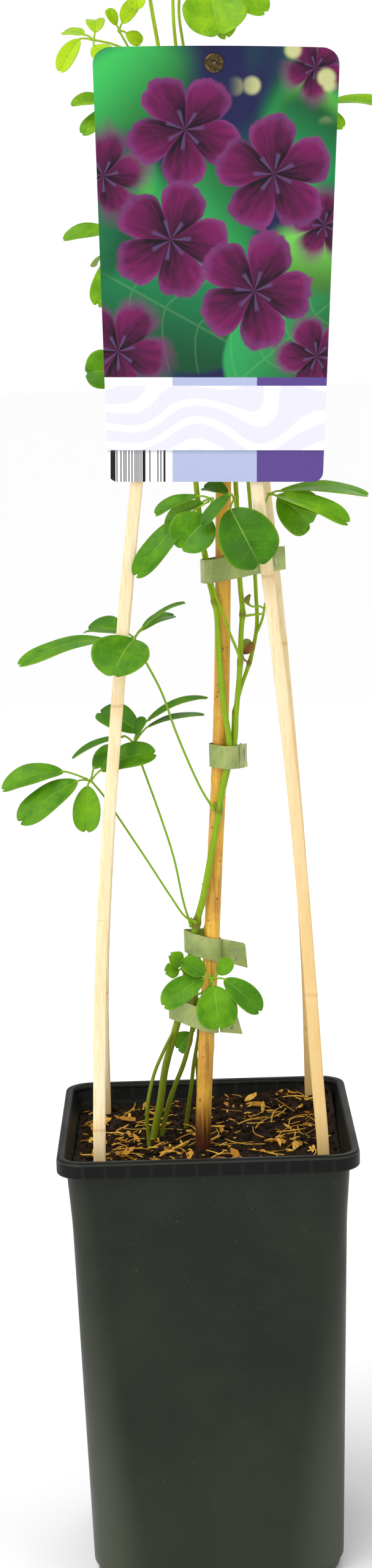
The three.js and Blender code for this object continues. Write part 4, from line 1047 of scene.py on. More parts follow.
# %% Label finish: the panels
WHITE, LIGHT_BLUE, PURPLE = (238, 238, 240), (173, 183, 215), (89, 67, 137)
THIRDS_END, SECOND_THIRD_END = 0.182, -0.172
PICTURE_END, LINE_END, PANEL_END = -1.287, -1.322, -1.59
BAR_STEP, BARS_START, BARS_END = 0.0042, -0.437, -0.198

thirds = bench.coats(PURPLE, (across < THIRDS_END, LIGHT_BLUE), (across < SECOND_THIRD_END, WHITE))
bands = bench.value("VectorMath", {0: flat, 1: (0.15, -2.6, 0)}, "Value", operation="DISTANCE")
bands += bench.noise(flat, 2.6, 0) * 0.5
ribbons = bench.math("PINGPONG", bands * 9, 0.5).ease(0.28, 0.34)
panel = bench.blend(ribbons, (222, 221, 240), (238, 238, 243))
step = bench.math("FLOOR", across / BAR_STEP)
stripe = bench.value("TexWhiteNoise", {"W": step}, "Value", noise_dimensions="1D")
bars = (stripe > 0.48) * (across < BARS_END) * (across > BARS_START)
# A soft painted shadow on the foot strip, just below the lilac panel's lower edge.
painted_panel_shadow = along.ease(PANEL_END - 0.022, PANEL_END, 0, 0.3)
foot = bench.coats(thirds, (bars, (22, 22, 24)), (painted_panel_shadow, (60, 56, 80)))
bench.give("Base Color", bench.coats(
    picture, (along < PICTURE_END, thirds), (along < LINE_END, panel), (along < PANEL_END, foot),
))
bench.give("Roughness", bench.noise(flat, 30).ease(0.3, 0.7, 0.24, 0.34))
print(bench)

card_back, bench = new_finish("plain card", 0.45)
cloud = bench.group("mottling", bench.place(), 40)
bench.give("Base Color", bench.blend(cloud, (242, 242, 238), (236, 236, 232)))

# %% [markdown]
# ## Label card
# The card is a little wider at its top. Its outline is a bevelled four-sided face, a hole is bridged into
# it round the rivet, and the sheet is given its thickness; the faces at the back stay plain. The print's
# coordinates are taken while the card is still flat, and then it is hung on the rivet, leaning on the
# front slats.

# %% Label card
LABEL_CORNERS = [(-44.2, -172.2), (46, -172.2), (52.2, 6.2), (-50.4, 6.2)]
LABEL_ROUND = (4, 4, 7, 7)
TOP_BOW, LABEL_THICK, HOLE_RADIUS, DECIMETRE = 0.8, 0.7, 1.95, 0.1
LABEL_Y, LABEL_TURN, LABEL_LEAN = -18.25, math.radians(1.7), -0.0486

bm = bmesh.new()
corners = [bm.verts.new((x * MM, 0, z * MM)) for x, z in LABEL_CORNERS]
bm.faces.new(corners)
for corner, radius in zip(corners, LABEL_ROUND):
    round_corners(bm, [corner], radius, 8)
long_edges = [e for e in bm.edges if e.calc_length() > 0.05]
bmesh.ops.subdivide_edges(bm, edges=long_edges, cuts=15)
for v in bm.verts:
    if v.co.z > 5.9 * MM:
        v.co.z += TOP_BOW * MM * (1 - (v.co.x / (51 * MM)) ** 2)
bmesh.ops.delete(bm, geom=bm.faces[:], context="FACES_ONLY")
outline = bm.edges[:]
upright = Matrix.Rotation(math.radians(90), 4, "X")
hole = bmesh.ops.create_circle(bm, segments=24, radius=HOLE_RADIUS * MM, matrix=upright)["verts"]
bmesh.ops.bridge_loops(bm, edges=outline + edges_of(hole))
bmesh.ops.recalc_face_normals(bm, faces=bm.faces)
print_map = bm.loops.layers.uv.new("print")
bmesh.ops.solidify(bm, geom=bm.faces[:], thickness=LABEL_THICK * MM)
middle = sum(v.co.y for v in bm.verts) / len(bm.verts)
for face in bm.faces:
    face.material_index = int(face.calc_center_median().y > middle + 0.2 * MM)
    for loop in face.loops:
        loop[print_map].uv = (loop.vert.co.x / DECIMETRE, loop.vert.co.z / DECIMETRE)
bmesh.ops.translate(bm, vec=(0, -LABEL_THICK / 2 * MM - middle, 0), verts=bm.verts)
lean = Matrix.Rotation(LABEL_TURN, 4, "Y") @ Matrix.Rotation(LABEL_LEAN, 4, "X")
hang = Matrix.Translation(mm((RIVET_X, LABEL_Y, RIVET_Z))) @ lean
bmesh.ops.transform(bm, matrix=hang, verts=bm.verts)
add_piece("label_card", bm, [card, card_back], "label_card", ["label"], sharp=30)

# %% [markdown]
# ## Ties
# A grower's tie is a strip of soft tape, drawn once round everything and stapled. The band's path is the
# tight outline of all that it holds: the convex hull of circles round each stem. The outline is extruded up,
# thickened, and tipped. The two tails are thin sheets that lie together and spring apart. A staple is a
# wire that is swept through the corners of a bent bracket, each corner cut by two points.

# %% Tape and wire finishes
tape, bench = new_finish("sage tape")
where = bench.place()
cloud = bench.group("mottling", where, 90)
sheen = bench.group("fibres", where, 260, 40)
bench.give("Base Color", bench.blend(cloud, (130, 148, 77), (170, 182, 105)))
bench.give("Roughness", sheen.ease(0, 1, 0.32, 0.5))
bench.give("Normal", bench.bump(sheen + bench.noise(where, 500), 0.00016, 0.6))
print(bench)

wire, bench = new_finish("bright wire", metallic=1)
rub = bench.noise(bench.place(), 3000)
bench.give("Base Color", bench.blend(rub, (150, 154, 160), (206, 208, 212)))
bench.give("Roughness", rub.ease(0.3, 0.7, 0.22, 0.36))
print(bench)

# %% Tie shapes
TAPE_TALL, TAPE_THICK, GAP = 10, 0.5, 0.35
TAPE_ROWS, ROUND_STEM, SHORTER_TAIL = 6, 28, 1.4
WIRE_RADIUS, STAPLE_FRONT, STAPLE_BACK, STAPLE_HALF, PRONG = 0.27, -1.25, 1.25, 3.0, 2.2


def round_members(z, slope, members):
    """The tight outline, in millimetres, of all the stems that a band holds."""
    reach = TAPE_TALL / 2 + 10 * abs(slope)
    points = []
    for path, radius in members:
        far = radius + GAP + TAPE_THICK / 2 + 0.1
        for height in (z - reach, z, z + reach):
            x, y, _ = at_height(path, height)
            for i in range(ROUND_STEM):
                turn = i / ROUND_STEM * math.tau
                points.append((x + far * math.cos(turn), y + far * math.sin(turn)))
    return [points[i] for i in geometry.convex_hull_2d(points)]


def add_staple(index, seat, tilt, staple_at):
    """A bent wire through both tails, as far out along them as staple_at."""
    corners = [
        (STAPLE_BACK, STAPLE_HALF - PRONG), (STAPLE_BACK, STAPLE_HALF), (STAPLE_FRONT, STAPLE_HALF),
        (STAPLE_FRONT, -STAPLE_HALF), (STAPLE_BACK, -STAPLE_HALF), (STAPLE_BACK, PRONG - STAPLE_HALF),
    ]
    corners = [Vector((staple_at, *corner)) for corner in corners]
    line = [corners[0]]
    for before, corner, after in zip(corners, corners[1:], corners[2:]):
        line += [corner + (near - corner).normalized() * 0.3 for near in (before, after)]
    line.append(corners[-1])
    bm = bmesh.new()
    sweep(bm, [seat @ mm(point) for point in line], [WIRE_RADIUS * MM] * len(line), 10)
    bmesh.ops.transform(bm, matrix=tilt, verts=bm.verts)
    add_piece(f"staple_{index}_wire", bm, [wire], "staple_wire", [f"staple_{index}"], sharp=60)


def tie(index, z, slope, members, tail, tail_turn, tail_rise, staple_at):
    """One band with its tails, and its staple, at a height in millimetres."""
    hull = round_members(z, slope, members)
    tilt = Matrix.Identity(4)
    tilt[2][0] = slope
    tilt[2][3] = -slope * at_height(CANE_PATH, z).x * MM
    bm = bmesh.new()
    _, edges = closed_outline(bm, [(x, y, z - TAPE_TALL / 2) for x, y in hull])
    stretches = [e for e in edges if e.calc_length() > 1.6 * MM]
    bmesh.ops.subdivide_edges(bm, edges=stretches, cuts=4)
    edges = bm.edges[:]
    for _ in range(TAPE_ROWS):
        verts, edges = extrude_loop(bm, edges)
        bmesh.ops.translate(bm, vec=(0, 0, TAPE_TALL / TAPE_ROWS * MM), verts=verts)
    root_x, root_y = max(hull)
    seat = Matrix.Translation(mm((root_x - 0.25, root_y, z))) @ Matrix.Rotation(tail_turn, 4, "Z")
    seat = seat @ Matrix.Rotation(-tail_rise, 4, "Y")
    # The two sheets part towards their ends, ripple a little, and are cut at a slant.
    for side, long in ((-1, tail), (1, tail - SHORTER_TAIL)):
        sheet = bmesh.ops.create_grid(bm, x_segments=10, y_segments=6, size=0.5)["verts"]
        for v in sheet:
            share, tall = v.co.x + 0.5, v.co.y
            part = side * (0.29 + 0.5 * share * share) + 0.25 * math.sin(5 * share + 3 * tall + index)
            skew = 0.8 * tall * share * side
            v.co = seat @ mm((share * long + skew, part, tall * TAPE_TALL * (1 + 0.03 * share)))
    bmesh.ops.recalc_face_normals(bm, faces=bm.faces)
    bmesh.ops.solidify(bm, geom=bm.faces[:], thickness=0.42 * MM)
    for v in bm.verts:
        v.co += noise.noise_vector(v.co * 160 + Vector((index, 0, 0))) * 0.16 * MM
    bmesh.ops.transform(bm, matrix=tilt, verts=bm.verts)
    add_piece(f"tie_{index}_tape", bm, [tape], "tie_tape", [f"tie_{index}"], sharp=50)
    add_staple(index, seat, tilt, staple_at)


# %% Ties
cane, right_branch = (CANE_PATH, 3.5), MAIN_BRANCH_RIGHT
tie(1, 246, -0.25, [cane, (MAIN_STEM, 1.6), (SECOND_STEM, 1.1), (THIRD_STEM, 0.9)], 9.6, -0.12, 0.2, 5.6)
tie(2, 278, -0.25, [cane, (MAIN_STEM, 1.5), (SECOND_STEM, 1.1), (THIRD_STEM, 0.9)], 11, -0.16, 0, 6.6)
tie(3, 363, -0.06, [cane, (MAIN_STEM, 1.4), (SECOND_STEM, 1.1), (right_branch, 1.2)], 8, 1.2, 0, 4.8)
held = [cane, (MAIN_STEM, 1.3), (SECOND_STEM, 1.1), (right_branch, 1.1), (MAIN_BRANCH_THIN, 0.8)]
tie(4, 444, 0.1, held, 13, 0.5, 0, 8)
tie(5, 540, 0, [cane, (MAIN_STEM, 1.2), (SECOND_STEM, 1), (right_branch, 1)], 10, 1.3, 0, 6)

# %% [markdown]
# ## Stems
# The stems twine up through the ties. They are brownish at the foot, where bark has begun, and fresh
# green above, and they swell at every joint where a leaf starts, with a small bud in its corner. Each is
# a swept line whose radius tapers and thickens at those heights.

# %% Stem finish
bark, bench = new_finish("young bark", specular=0.2)
where = bench.place()
height = bench.axes(where)[2]
fibre = bench.group("fibres", where, 1300, 60)
cloud = bench.group("mottling", where, 40)
woody = (height + cloud * 0.05).ease(0.24, 0.31, 1, 0)
bench.give("Base Color", bench.coats(
    bench.blend(height.ease(0.35, 0.62), (140, 176, 20), (176, 206, 40)),
    (fibre * 0.4, (94, 122, 20)),
    (woody * 0.6, (114, 110, 30)),
    (bench.attribute("knot") * 0.7, (104, 78, 40)),
))
bench.give("Normal", bench.bump(fibre, 0.00012, 0.6))
print(bench)


# %% Stem shapes
def add_stem(bm, path, thick, thin, joints=(), sides=12):
    """A tapering stem with a swelling at each joint's height, in millimetres."""
    knot = bm.verts.layers.float.get("knot") or bm.verts.layers.float.new("knot")
    line = bend_through([mm(p) for p in path], 6)
    radii = []
    for share, point in zip(shares_along(line), line):
        swell = 0.38 * min(bump_at(point.z / MM, joints, 1.7), 1.2)
        wobble = 1 + 0.05 * noise.noise(point * 220)
        radii.append((thick + (thin - thick) * share) * (1 + swell) * wobble * MM)
    for v in sweep(bm, line, radii, sides):
        v[knot] = min(1, bump_at(v.co.z / MM, joints, 1.3))


# Each stem's path, and its radius in millimetres at its foot and at its tip.
MAIN = (MAIN_STEM, 1.7, 0.7)
BRANCH = (MAIN_BRANCH_RIGHT, 1.2, 0.6)
SECOND = (SECOND_STEM, 1.1, 0.6)
THIRD = (THIRD_STEM, 1.0, 0.6)
print("stems with leaves:", len((MAIN, BRANCH, SECOND, THIRD)))

# %% [markdown]
# ## Leaves
# Five-leaf akebia carries its leaves as a hand of stalked, notched ovals on one long stalk. Each list
# entry gives the stem and height where the long stalk starts, the points it passes, its hub, and
# for each leaflet its base, tip and width, and sometimes the direction that its upper side faces.

# %% Leaf list
FRONT, UPRIGHT, SLANTED, BACK = (0, -0.8, 0.6), (0, -0.9, 0.4), (0, -0.7, 0.7), (0, 0.5, 0.86)


def leaf(on, z, turn, tone, via, hub, *leaflets, torn=0):
    """One leaf: its stem, the height and direction it leaves in, how light its green is, and its points."""
    return dict(on=on, z=z, turn=turn, tone=tone, via=via, hub=hub, leaflets=leaflets, torn=torn)


LEAVES = {
    "leaf_left_high": leaf(
        MAIN, 340, 190, 0.4, [(2, -17.6, 349), (-8, -20, 374), (-14, -24, 393), (-21.6, -25, 409)],
        (-24.8, -25, 416.6),
        ((-24.8, -32.6, 417), (-34, -49, 403.6), 25, (-0.1, -0.72, 0.68)),
        ((-37.4, -26.6, 416.6), (-75, -35, 409), 13, (0, -0.35, 0.94)),
        ((-28.4, -21, 418.4), (-46, -8, 420), 14),
        ((-21.6, -23, 420.4), (-3, -20.6, 432), 6.4, (0, -0.1, 1)),
        ((-21.6, -20.6, 419.4), (-7, -8, 425), 6.4),
    ),
    "leaf_left_middle": leaf(
        MAIN, 288, 200, 0.34, [(-7, -15, 298), (-11, -18, 320), (-16, -20, 338), (-23, -21, 360)],
        (-26.5, -21.5, 371),
        ((-24.4, -18.6, 375.4), (-42, -8, 384), 13, (0.2, -0.85, 0.5)),
        ((-20.6, -17.4, 377.2), (4.4, -13.4, 382.6), 6.4, (0, -0.2, 1)),
        ((-20.8, -14.6, 379.4), (6, -12.6, 390), 7.4, (0, -0.2, 1)),
        ((-30.6, -23, 374.4), (-54, -25, 366.6), 5.2, (0, -0.3, 0.95)),
        ((-25.6, -23.4, 374.6), (-21.4, -29, 382.6), 6, SLANTED),
    ),
    "leaf_left_far": leaf(
        MAIN, 290, 265, 0.46,
        [(-7, -19, 294), (-12, -21, 302), (-23, -24, 321), (-35, -26, 341), (-40, -26, 349)],
        (-45.4, -26, 356),
        ((-57, -27, 360.4), (-84, -31, 354.6), 13),
        ((-51, -29, 356.4), (-77, -37, 341), 15, (0, -0.6, 0.8)),
        ((-46.8, -28, 354), (-48, -34, 334.6), 12, (0, -0.95, 0.3)),
        ((-44, -23.4, 361), (-33.6, -12, 369), 10), ((-41, -24, 360), (-17, -27, 368), 13, SLANTED),
    ),
    "leaf_low_front": leaf(
        MAIN, 258, 260, 0.42, [(-6, -13, 257.6), (-2, -19, 259), (2.4, -24, 263)], (4, -25, 267),
        ((0.4, -25.6, 267.6), (-18, -31, 257), 12, FRONT),
        ((4.6, -27.6, 264.6), (6.4, -34, 246.4), 18, UPRIGHT),
        ((9.4, -25.6, 267), (25, -31, 253), 11, FRONT), ((6.6, -24, 268.8), (12.6, -25, 275.6), 7, UPRIGHT),
        ((1.4, -24.6, 269.4), (-8.6, -26.4, 276), 9, FRONT),
    ),
    "leaf_low_side": leaf(
        MAIN, 266, 215, 0.55, [(-8.4, -13, 268)], (-8.6, -15, 269.4),
        ((-9.4, -16.4, 271.2), (-14, -19.6, 277.6), 8, FRONT),
        ((-10.2, -16.4, 269.4), (-16.6, -19, 269.6), 8, SLANTED), torn=0.2,
    ),
    "leaf_small_round": leaf(
        THIRD, 238.4, 120, 0.42, [(-4, 5.4, 237.6)], (-4.6, 6.2, 236.4),
        ((-5.6, 6.8, 235), (-12.4, 9, 227), 9.6, (0, -0.85, 0.5)),
    ),
    "leaf_upper_left": leaf(
        MAIN, 458, 270, 0.42, [(6.2, -16, 462), (8.4, -22, 469)], (10, -26, 474.6),
        ((8.4, -29.6, 467), (-4.4, -37, 454.6), 20, (0, -0.85, 0.5)),
        ((-0.6, -29, 468), (-24.6, -34.4, 443.6), 12, SLANTED), ((4, -27.4, 476), (-15, -29.6, 469.6), 8),
        ((6, -23.6, 473.4), (-11.4, -20.6, 465), 9),
    ),
    "leaf_upper_centre": leaf(
        BRANCH, 458, 270, 0.26, [(20.6, -14, 463), (19.8, -21, 470)], (19.2, -26, 475),
        ((17.4, -30.6, 470.4), (29.4, -39, 446.4), 25.5, (0.1, -0.9, 0.4)),
        ((17.4, -30, 476.6), (4.8, -38, 465), 6.4), ((16.6, -22, 476.4), (6, -16, 479.6), 9),
    ),
    "leaf_upper_right": leaf(
        SECOND, 457, 280, 0.55, [(28.6, -6, 462), (31.4, -13, 469)], (34, -18.6, 475.4),
        ((37, -20.4, 475), (68, -30, 464), 12, (0, -0.5, 0.86)),
        ((39, -16.4, 476.6), (77, -21, 475.6), 10, (0, -0.4, 0.9)),
        ((38, -13.4, 474), (53, -8.4, 461), 20, (0.1, -0.95, 0.3)),
        ((38.4, -13, 474), (58, -5, 468.6), 11, FRONT),
    ),
    "leaf_back_low": leaf(
        BRANCH, 520, 60, 0.42, [(20, 9, 526), (17, 18, 534)], (13, 25, 540),
        ((10, 29, 542), (-8, 40, 541), 15, BACK), ((13, 31, 540), (12, 52, 531), 18, BACK),
        ((17, 29, 541), (36, 40, 536), 16, BACK), ((17, 25, 543), (37, 24, 549), 12, (0, 0.3, 0.95)),
    ),
    "leaf_back_high": leaf(
        SECOND, 610, 100, 0.58, [(9, 16, 618), (6, 22, 627)], (2, 26, 633),
        ((-1, 29, 634), (-17, 36, 630), 14, (0, 0.4, 0.9)), ((2, 31, 632), (3, 50, 623), 16, BACK),
        ((5, 29, 634), (22, 37, 630), 14, (0, 0.4, 0.9)), ((5, 26, 636), (20, 23, 644), 11, (0, 0.3, 0.95)),
    ),
    "leaf_label_left_low": leaf(
        MAIN, 505, 180, 0.42, [(-6, -9, 513), (-16, -9, 521)], (-24, -9, 526.6),
        ((-26.6, -9.6, 529), (-42.4, -12, 528.6), 17, (0, -0.95, 0.3)),
        ((-25.6, -6, 522), (-27, 4, 506), 10), ((-24.4, -4, 531), (-27, 12, 540), 13),
    ),
    "leaf_label_left_middle": leaf(
        MAIN, 560, 180, 0.62, [(-8, -8.4, 570), (-15, -7, 579)], (-22, -6, 585),
        ((-29, -6.4, 587), (-50, -10, 585), 10, (0, -0.6, 0.8)),
        ((-24.6, -6.6, 579.6), (-37, -8, 556), 12, UPRIGHT), ((-22, -1, 590), (-32, 14, 598), 13),
        ((-20, 0, 584), (-17, 18, 578), 14), ((-25, -2, 582), (-38, 10, 574), 12),
    ),
    "leaf_label_left_top": leaf(
        MAIN, 612, 180, 0.66, [(-10, -7, 626), (-18, -5, 636)], (-24, -4, 640),
        ((-29, -4.4, 641), (-44.6, -8, 640), 9, (0, -0.6, 0.8)),
        ((-27, -5, 637.4), (-41, -7, 628), 9, SLANTED), ((-22, 0, 643.4), (-28, 12, 648), 12),
        ((-20.6, 1, 639), (-12, 16, 637), 13), ((-23, 0, 636), (-24, 10, 621), 12),
    ),
    "leaf_label_right": leaf(
        SECOND, 598, 40, 0.66, [(24, 10, 610), (38, 6, 625), (50, 1, 634)], (56, -2, 637),
        ((63, -3, 637.4), (88, -8, 636.6), 9.4, (0, -0.5, 0.86)),
        ((58.4, -4.4, 634.4), (70, -7.4, 627.4), 8, FRONT), ((55, 1.4, 641), (58, 16, 649), 12),
        ((52, 4, 634), (49, 18, 624), 13), ((58.4, 2, 637), (66, 16, 631), 12),
    ),
    "leaf_top_left": leaf(
        MAIN, 652, 180, 0.94, [(-16, -6, 659), (-26, -5, 664)], (-34, -5, 666),
        ((-40, -5.6, 666.4), (-48.8, -9, 653), 7.6, UPRIGHT), ((-38, -3.4, 668.4), (-47, 2, 671), 8),
        ((-33.4, -2.4, 669.4), (-33, 5, 676), 8), ((-34, -7.6, 663.6), (-27, -12.6, 656), 10, FRONT),
    ),
    "leaf_top_tip": leaf(
        MAIN, 640, 130, 0.94, [(-12, 0.6, 650), (-19, 1, 662)], (-23.4, 1, 670),
        ((-22, 0, 673), (-16, -3, 681), 8, FRONT), ((-20.4, 0.6, 669), (-14, 0, 664.6), 7, FRONT),
        ((-24.4, 1, 672.4), (-28, -1, 679), 5, FRONT),
    ),
    "leaf_top_middle": leaf(
        MAIN, 692, 200, 0.9, [(-14.4, -5, 694)], (-16, -6, 692),
        ((-16.6, -7.4, 688.6), (-15, -12, 677), 8, UPRIGHT), ((-18, -6.4, 691.4), (-25, -9, 684), 8, FRONT),
        ((-17, -4, 695.4), (-21, 4, 702), 8),
    ),
    "leaf_top_broad": leaf(
        BRANCH, 692, 300, 0.66, [(6, -3, 694), (11, -5, 693)], (15, -6, 690),
        ((15.2, -10.4, 683.6), (18.4, -22.6, 664.6), 27, FRONT),
        ((20.4, -9, 686.6), (38.4, -17, 674), 14, FRONT), ((16.4, -2, 686), (22.4, 5, 665.6), 11, FRONT),
        ((11, -7.6, 694.6), (1, -15, 704), 14), ((17.4, -3.4, 694.4), (25, 6, 707), 14),
    ),
    "leaf_crown_left": leaf(
        MAIN, 720, 150, 0.84, [(-14, 1.4, 725)], (-16.4, 3, 728),
        ((-18.4, 3, 729.6), (-27, -1, 731), 9), ((-17, 5, 730), (-21, 13, 734), 8),
        ((-16, 1, 729.4), (-12, -7, 733), 8),
    ),
    "leaf_crown_right": leaf(
        BRANCH, 721, 20, 0.84, [(9, 4, 726)], (11.6, 5, 729),
        ((13.6, 4.4, 731), (23, 0, 734), 9), ((12.6, 7, 731), (17, 15, 735), 8),
        ((11, 3, 730.6), (7.6, -6, 735), 8),
    ),
}
DRY_BRACT = leaf(
    SECOND, 402.4, 245, 0.3, [(22, -6.6, 404)], (21.2, -7, 405.4),
    ((20.4, -7.4, 406.8), (25.6, -6.6, 412), 6.4, (0, -1, 0.1)),
)
print("leaves:", len(LEAVES), "with", sum(len(entry["leaflets"]) for entry in LEAVES.values()), "leaflets")

# %% [markdown]
# ## Leaf finishes
# The upper side is a fresh green, smooth and a little shiny, with a thin pale midrib, faint side veins and
# lighter blotches between them. Veins follow the blade, so they are drawn from the blade's own map: one
# coordinate runs across and one from base to tip. The underside is paler and dull, with raised veins.

# %% Vein group
bench, (blade,) = new_group("veins", [], ["Vein", "Midrib", "Margin"])
across, along, _ = bench.axes(blade)
off_rib = abs(across)
slanted = along * 7 - off_rib * 1.5 + bench.noise(blade, 3, 2) * 0.5
lines = bench.math("PINGPONG", slanted, 0.5)
bench.give("Vein", lines.ease(0, 0.07, 1, 0) * off_rib.ease(0.1, 0.95, 1, 0))
rib_wide = along * -0.035 + 0.055
bench.give("Midrib", (off_rib - rib_wide).ease(-0.03, 0, 1, 0))
bench.give("Margin", off_rib.ease(0.9, 1))
print(bench)

# %% Upper and under sides
leaf_top, bench = new_finish("leaf upper side", specular=0.18)
where = bench.place()
vein = bench.group("veins", bench.map("blade"))
blotch = bench.group("mottling", where, 110)
green = bench.ramp(
    bench.attribute("tone") + (blotch - 0.5) * 0.22, (0.05, (38, 84, 10)), (0.35, (66, 124, 8)),
    (0.6, (104, 160, 10)), (0.8, (146, 194, 12)), (1, (176, 212, 22)),
)
scar = bench.group("specks", where, 240, 0.2)
bench.give("Base Color", bench.coats(
    green,
    (vein["Vein"] * 0.2, (140, 184, 50)),
    (vein["Margin"] * 0.35, (160, 190, 40)),
    (vein["Midrib"] * 0.5, (158, 196, 76)),
    (scar * 0.5, (120, 120, 40)),
))
relief = bench.noise(where, 700) * 0.35 - (vein["Midrib"] + vein["Vein"] * 0.5)
bench.give("Normal", bench.bump(relief, 0.00022, 0.7))
bench.give("Roughness", blotch.ease(0, 1, 0.36, 0.5))
print(bench)

leaf_under, bench = new_finish("leaf under side", 0.66, specular=0.25)
vein = bench.group("veins", bench.map("blade"))
blotch = bench.group("mottling", bench.place(), 130)
raised = vein["Midrib"] + vein["Vein"] * 0.6
bench.give("Base Color", bench.coats(
    bench.blend(bench.attribute("tone"), (84, 122, 58), (170, 196, 70)),
    (blotch * 0.3, (120, 156, 82)),
    (raised * 0.5, (176, 204, 126)),
))
bench.give("Normal", bench.bump(raised, 0.0003, 0.8))
print(bench)

leaf_stalk, bench = new_finish("leaf stalk", 0.45, specular=0.2)
where = bench.place()
fibre = bench.group("fibres", where, 1500, 200)
stalk = bench.blend(bench.axes(where)[2].ease(0.4, 0.64), (134, 174, 30), (168, 202, 46))
bench.give("Base Color", bench.blend(fibre * 0.35, stalk, (98, 134, 22)))
print(bench)

# %% [markdown]
# ## Leaflet
# A leaflet starts as a flat grid. Its columns are pressed to an oval that is widest past the middle, its
# last rows are drawn back at the rib into a notch, and the whole sheet is arched, cupped and waved.
# Then the sheet is extruded a third of a millimetre down, and those faces take the underside's finish.

# %% Leaflet
BLADE_THICK, WIDE_LEAFLET = 0.32, 9
GRID_FOOT, GRID_TIP = 0.004, 0.985


def half_width(share):
    """The half width of a leaflet, as a share of the largest, at a share of its length."""
    from_middle = 2 * share**1.16 - 1
    return (1 - abs(from_middle) ** (1.8 if from_middle < 0 else 2.6)) ** 0.5


def add_leaflet(bm, base, tip, width, face, wave, torn):
    """One blade between two points in metres, with its upper side towards face; returns its vertices."""
    tongue = tip - base
    length = tongue.length
    along = tongue.normalized()
    side = along.cross(face).normalized()
    normal = side.cross(along).normalized()
    columns, rows = (18, 22) if width > WIDE_LEAFLET else (12, 16)
    verts = bmesh.ops.create_grid(bm, x_segments=columns, y_segments=rows, size=1)["verts"]
    upper = list({f for v in verts for f in v.link_faces})
    for v in verts:
        share = (1 - math.cos(math.pi * (v.co.y + 1) / 2)) / 2
        v.co.x = math.copysign(abs(v.co.x) ** 1.25, v.co.x)
        v.co.y = GRID_FOOT + (GRID_TIP - GRID_FOOT) * share
    blade_map = bm.loops.layers.uv["blade"]
    for f in upper:
        for loop in f.loops:
            loop[blade_map].uv = loop.vert.co.xy
    # Each blade is cupped, and its rib sways to one side, by its own amount.
    cup = 0.09 + 0.05 * math.sin(2.1 * wave + 0.7)
    sway = 0.05 * length * math.sin(1.7 * wave + 0.4)
    drawn_from = 0.3 if torn else 0.72
    for v in verts:
        across, share, _ = v.co
        half, edge = half_width(share), math.copysign(1, across)
        # Near the tip the rows are drawn back: most at the rib, and in teeth where the leaf is torn.
        near_tip = max(0.0, (share - drawn_from) / (GRID_TIP - drawn_from)) ** 2
        notch = 0.055 * math.exp(-((across * half / 0.1) ** 2)) + 0.014 * across**2
        teeth = torn * (0.5 - 0.5 * math.cos(3 * math.pi * across))
        reach = length * (share - near_tip * (notch + teeth))
        # The blade arches along its rib, its sides lift, and its margin waves.
        arch = length * (0.07 * math.sin(math.pi * share) - 0.05 * share * share)
        lift = (cup * half + 0.03 * math.sin(wave + 5 * share * edge)) * abs(across) ** 1.3
        ripple = 0.014 * math.sin(11 * share + 2.3 * wave + edge) * across**2
        up = arch + width * MM * (lift + ripple)
        out = across * half * width * MM / 2 + sway * math.sin(math.pi * share)
        v.co = base + along * reach + side * out + normal * up
    grown = bmesh.ops.extrude_face_region(bm, geom=upper, use_keep_orig=True)["geom"]
    below = [g for g in grown if isinstance(g, bmesh.types.BMVert)]
    bmesh.ops.translate(bm, vec=normal * -BLADE_THICK * MM, verts=below)
    for g in grown:
        if isinstance(g, bmesh.types.BMFace):
            g.material_index = 1
    return verts + below


# %% Compound leaf
FACE_UP = (0, -0.5, 0.86)


def stem_radius(stem, z):
    """The stem's radius in millimetres at a height, without its swellings."""
    path, thick, thin = stem
    return thick + (thin - thick) * (z - path[0][2]) / (path[-1][2] - path[0][2])


def leaf_foot(entry, off):
    """The point in millimetres where a long stalk leaves its stem, and the level direction it leaves in."""
    turn = math.radians(entry["turn"])
    level = Vector((math.cos(turn), math.sin(turn), 0))
    return at_height(entry["on"][0], entry["z"]) + level * (stem_radius(entry["on"], entry["z"]) + off), level


def add_stalk(bm, points, per_span, middle, thickest, reach):
    """A thin stalk through points, in metres, that flares at its start; radii in millimetres."""
    line = bend_through(points, per_span)
    flares = [math.exp(-((share / reach) ** 2)) for share in shares_along(line)]
    sweep(bm, line, [(middle + (thickest - middle) * flare) * MM for flare in flares], 8)


def add_compound_leaf(name, entry, slot, finishes):
    """The long stalk, its hub, and every leaflet with its own short stalk."""
    foot, _ = leaf_foot(entry, 0.6)
    hub = mm(entry["hub"])
    bm = bmesh.new()
    tone_layer = bm.verts.layers.float.new("tone")
    bm.loops.layers.uv.new("blade")
    add_stalk(bm, [foot * MM, *(mm(p) for p in entry["via"]), hub], 6, 0.48, 0.98, 0.035)
    bmesh.ops.create_icosphere(bm, subdivisions=2, radius=0.85 * MM, matrix=Matrix.Translation(hub))
    for base, tip, *_ in entry["leaflets"]:
        base, tip = mm(base), mm(tip)
        above = hub.lerp(base, 0.6) + Vector((0, 0, 0.4 * MM))
        add_stalk(bm, [hub.lerp(base, 0.12), above, base, base.lerp(tip, 0.06)], 4, 0.42, 0.54, 0.1)
    for f in bm.faces:
        f.material_index = 2
    for k, (base, tip, width, *face) in enumerate(entry["leaflets"]):
        face = Vector(*face or [FACE_UP])
        blade = add_leaflet(bm, mm(base), mm(tip), width, face, 1.7 * k, entry["torn"])
        tone = entry["tone"] + 0.12 * noise.noise(Vector((1.3 * k, 0.1 * entry["z"], 2)))
        for v in blade:
            v[tone_layer] = tone
    add_piece(name + "_fine", bm, finishes, slot, [name])


# %% Leaves
slot_of = {row["node"]: row["material_slot"] for row in frame["record"]["subparts"]}
for name, entry in LEAVES.items():
    add_compound_leaf(name, entry, slot_of[name], [leaf_top, leaf_under, leaf_stalk])

# %% Buds and joints
def joints_on(stem):
    return [entry["z"] for entry in [*LEAVES.values(), DRY_BRACT] if entry["on"] is stem]


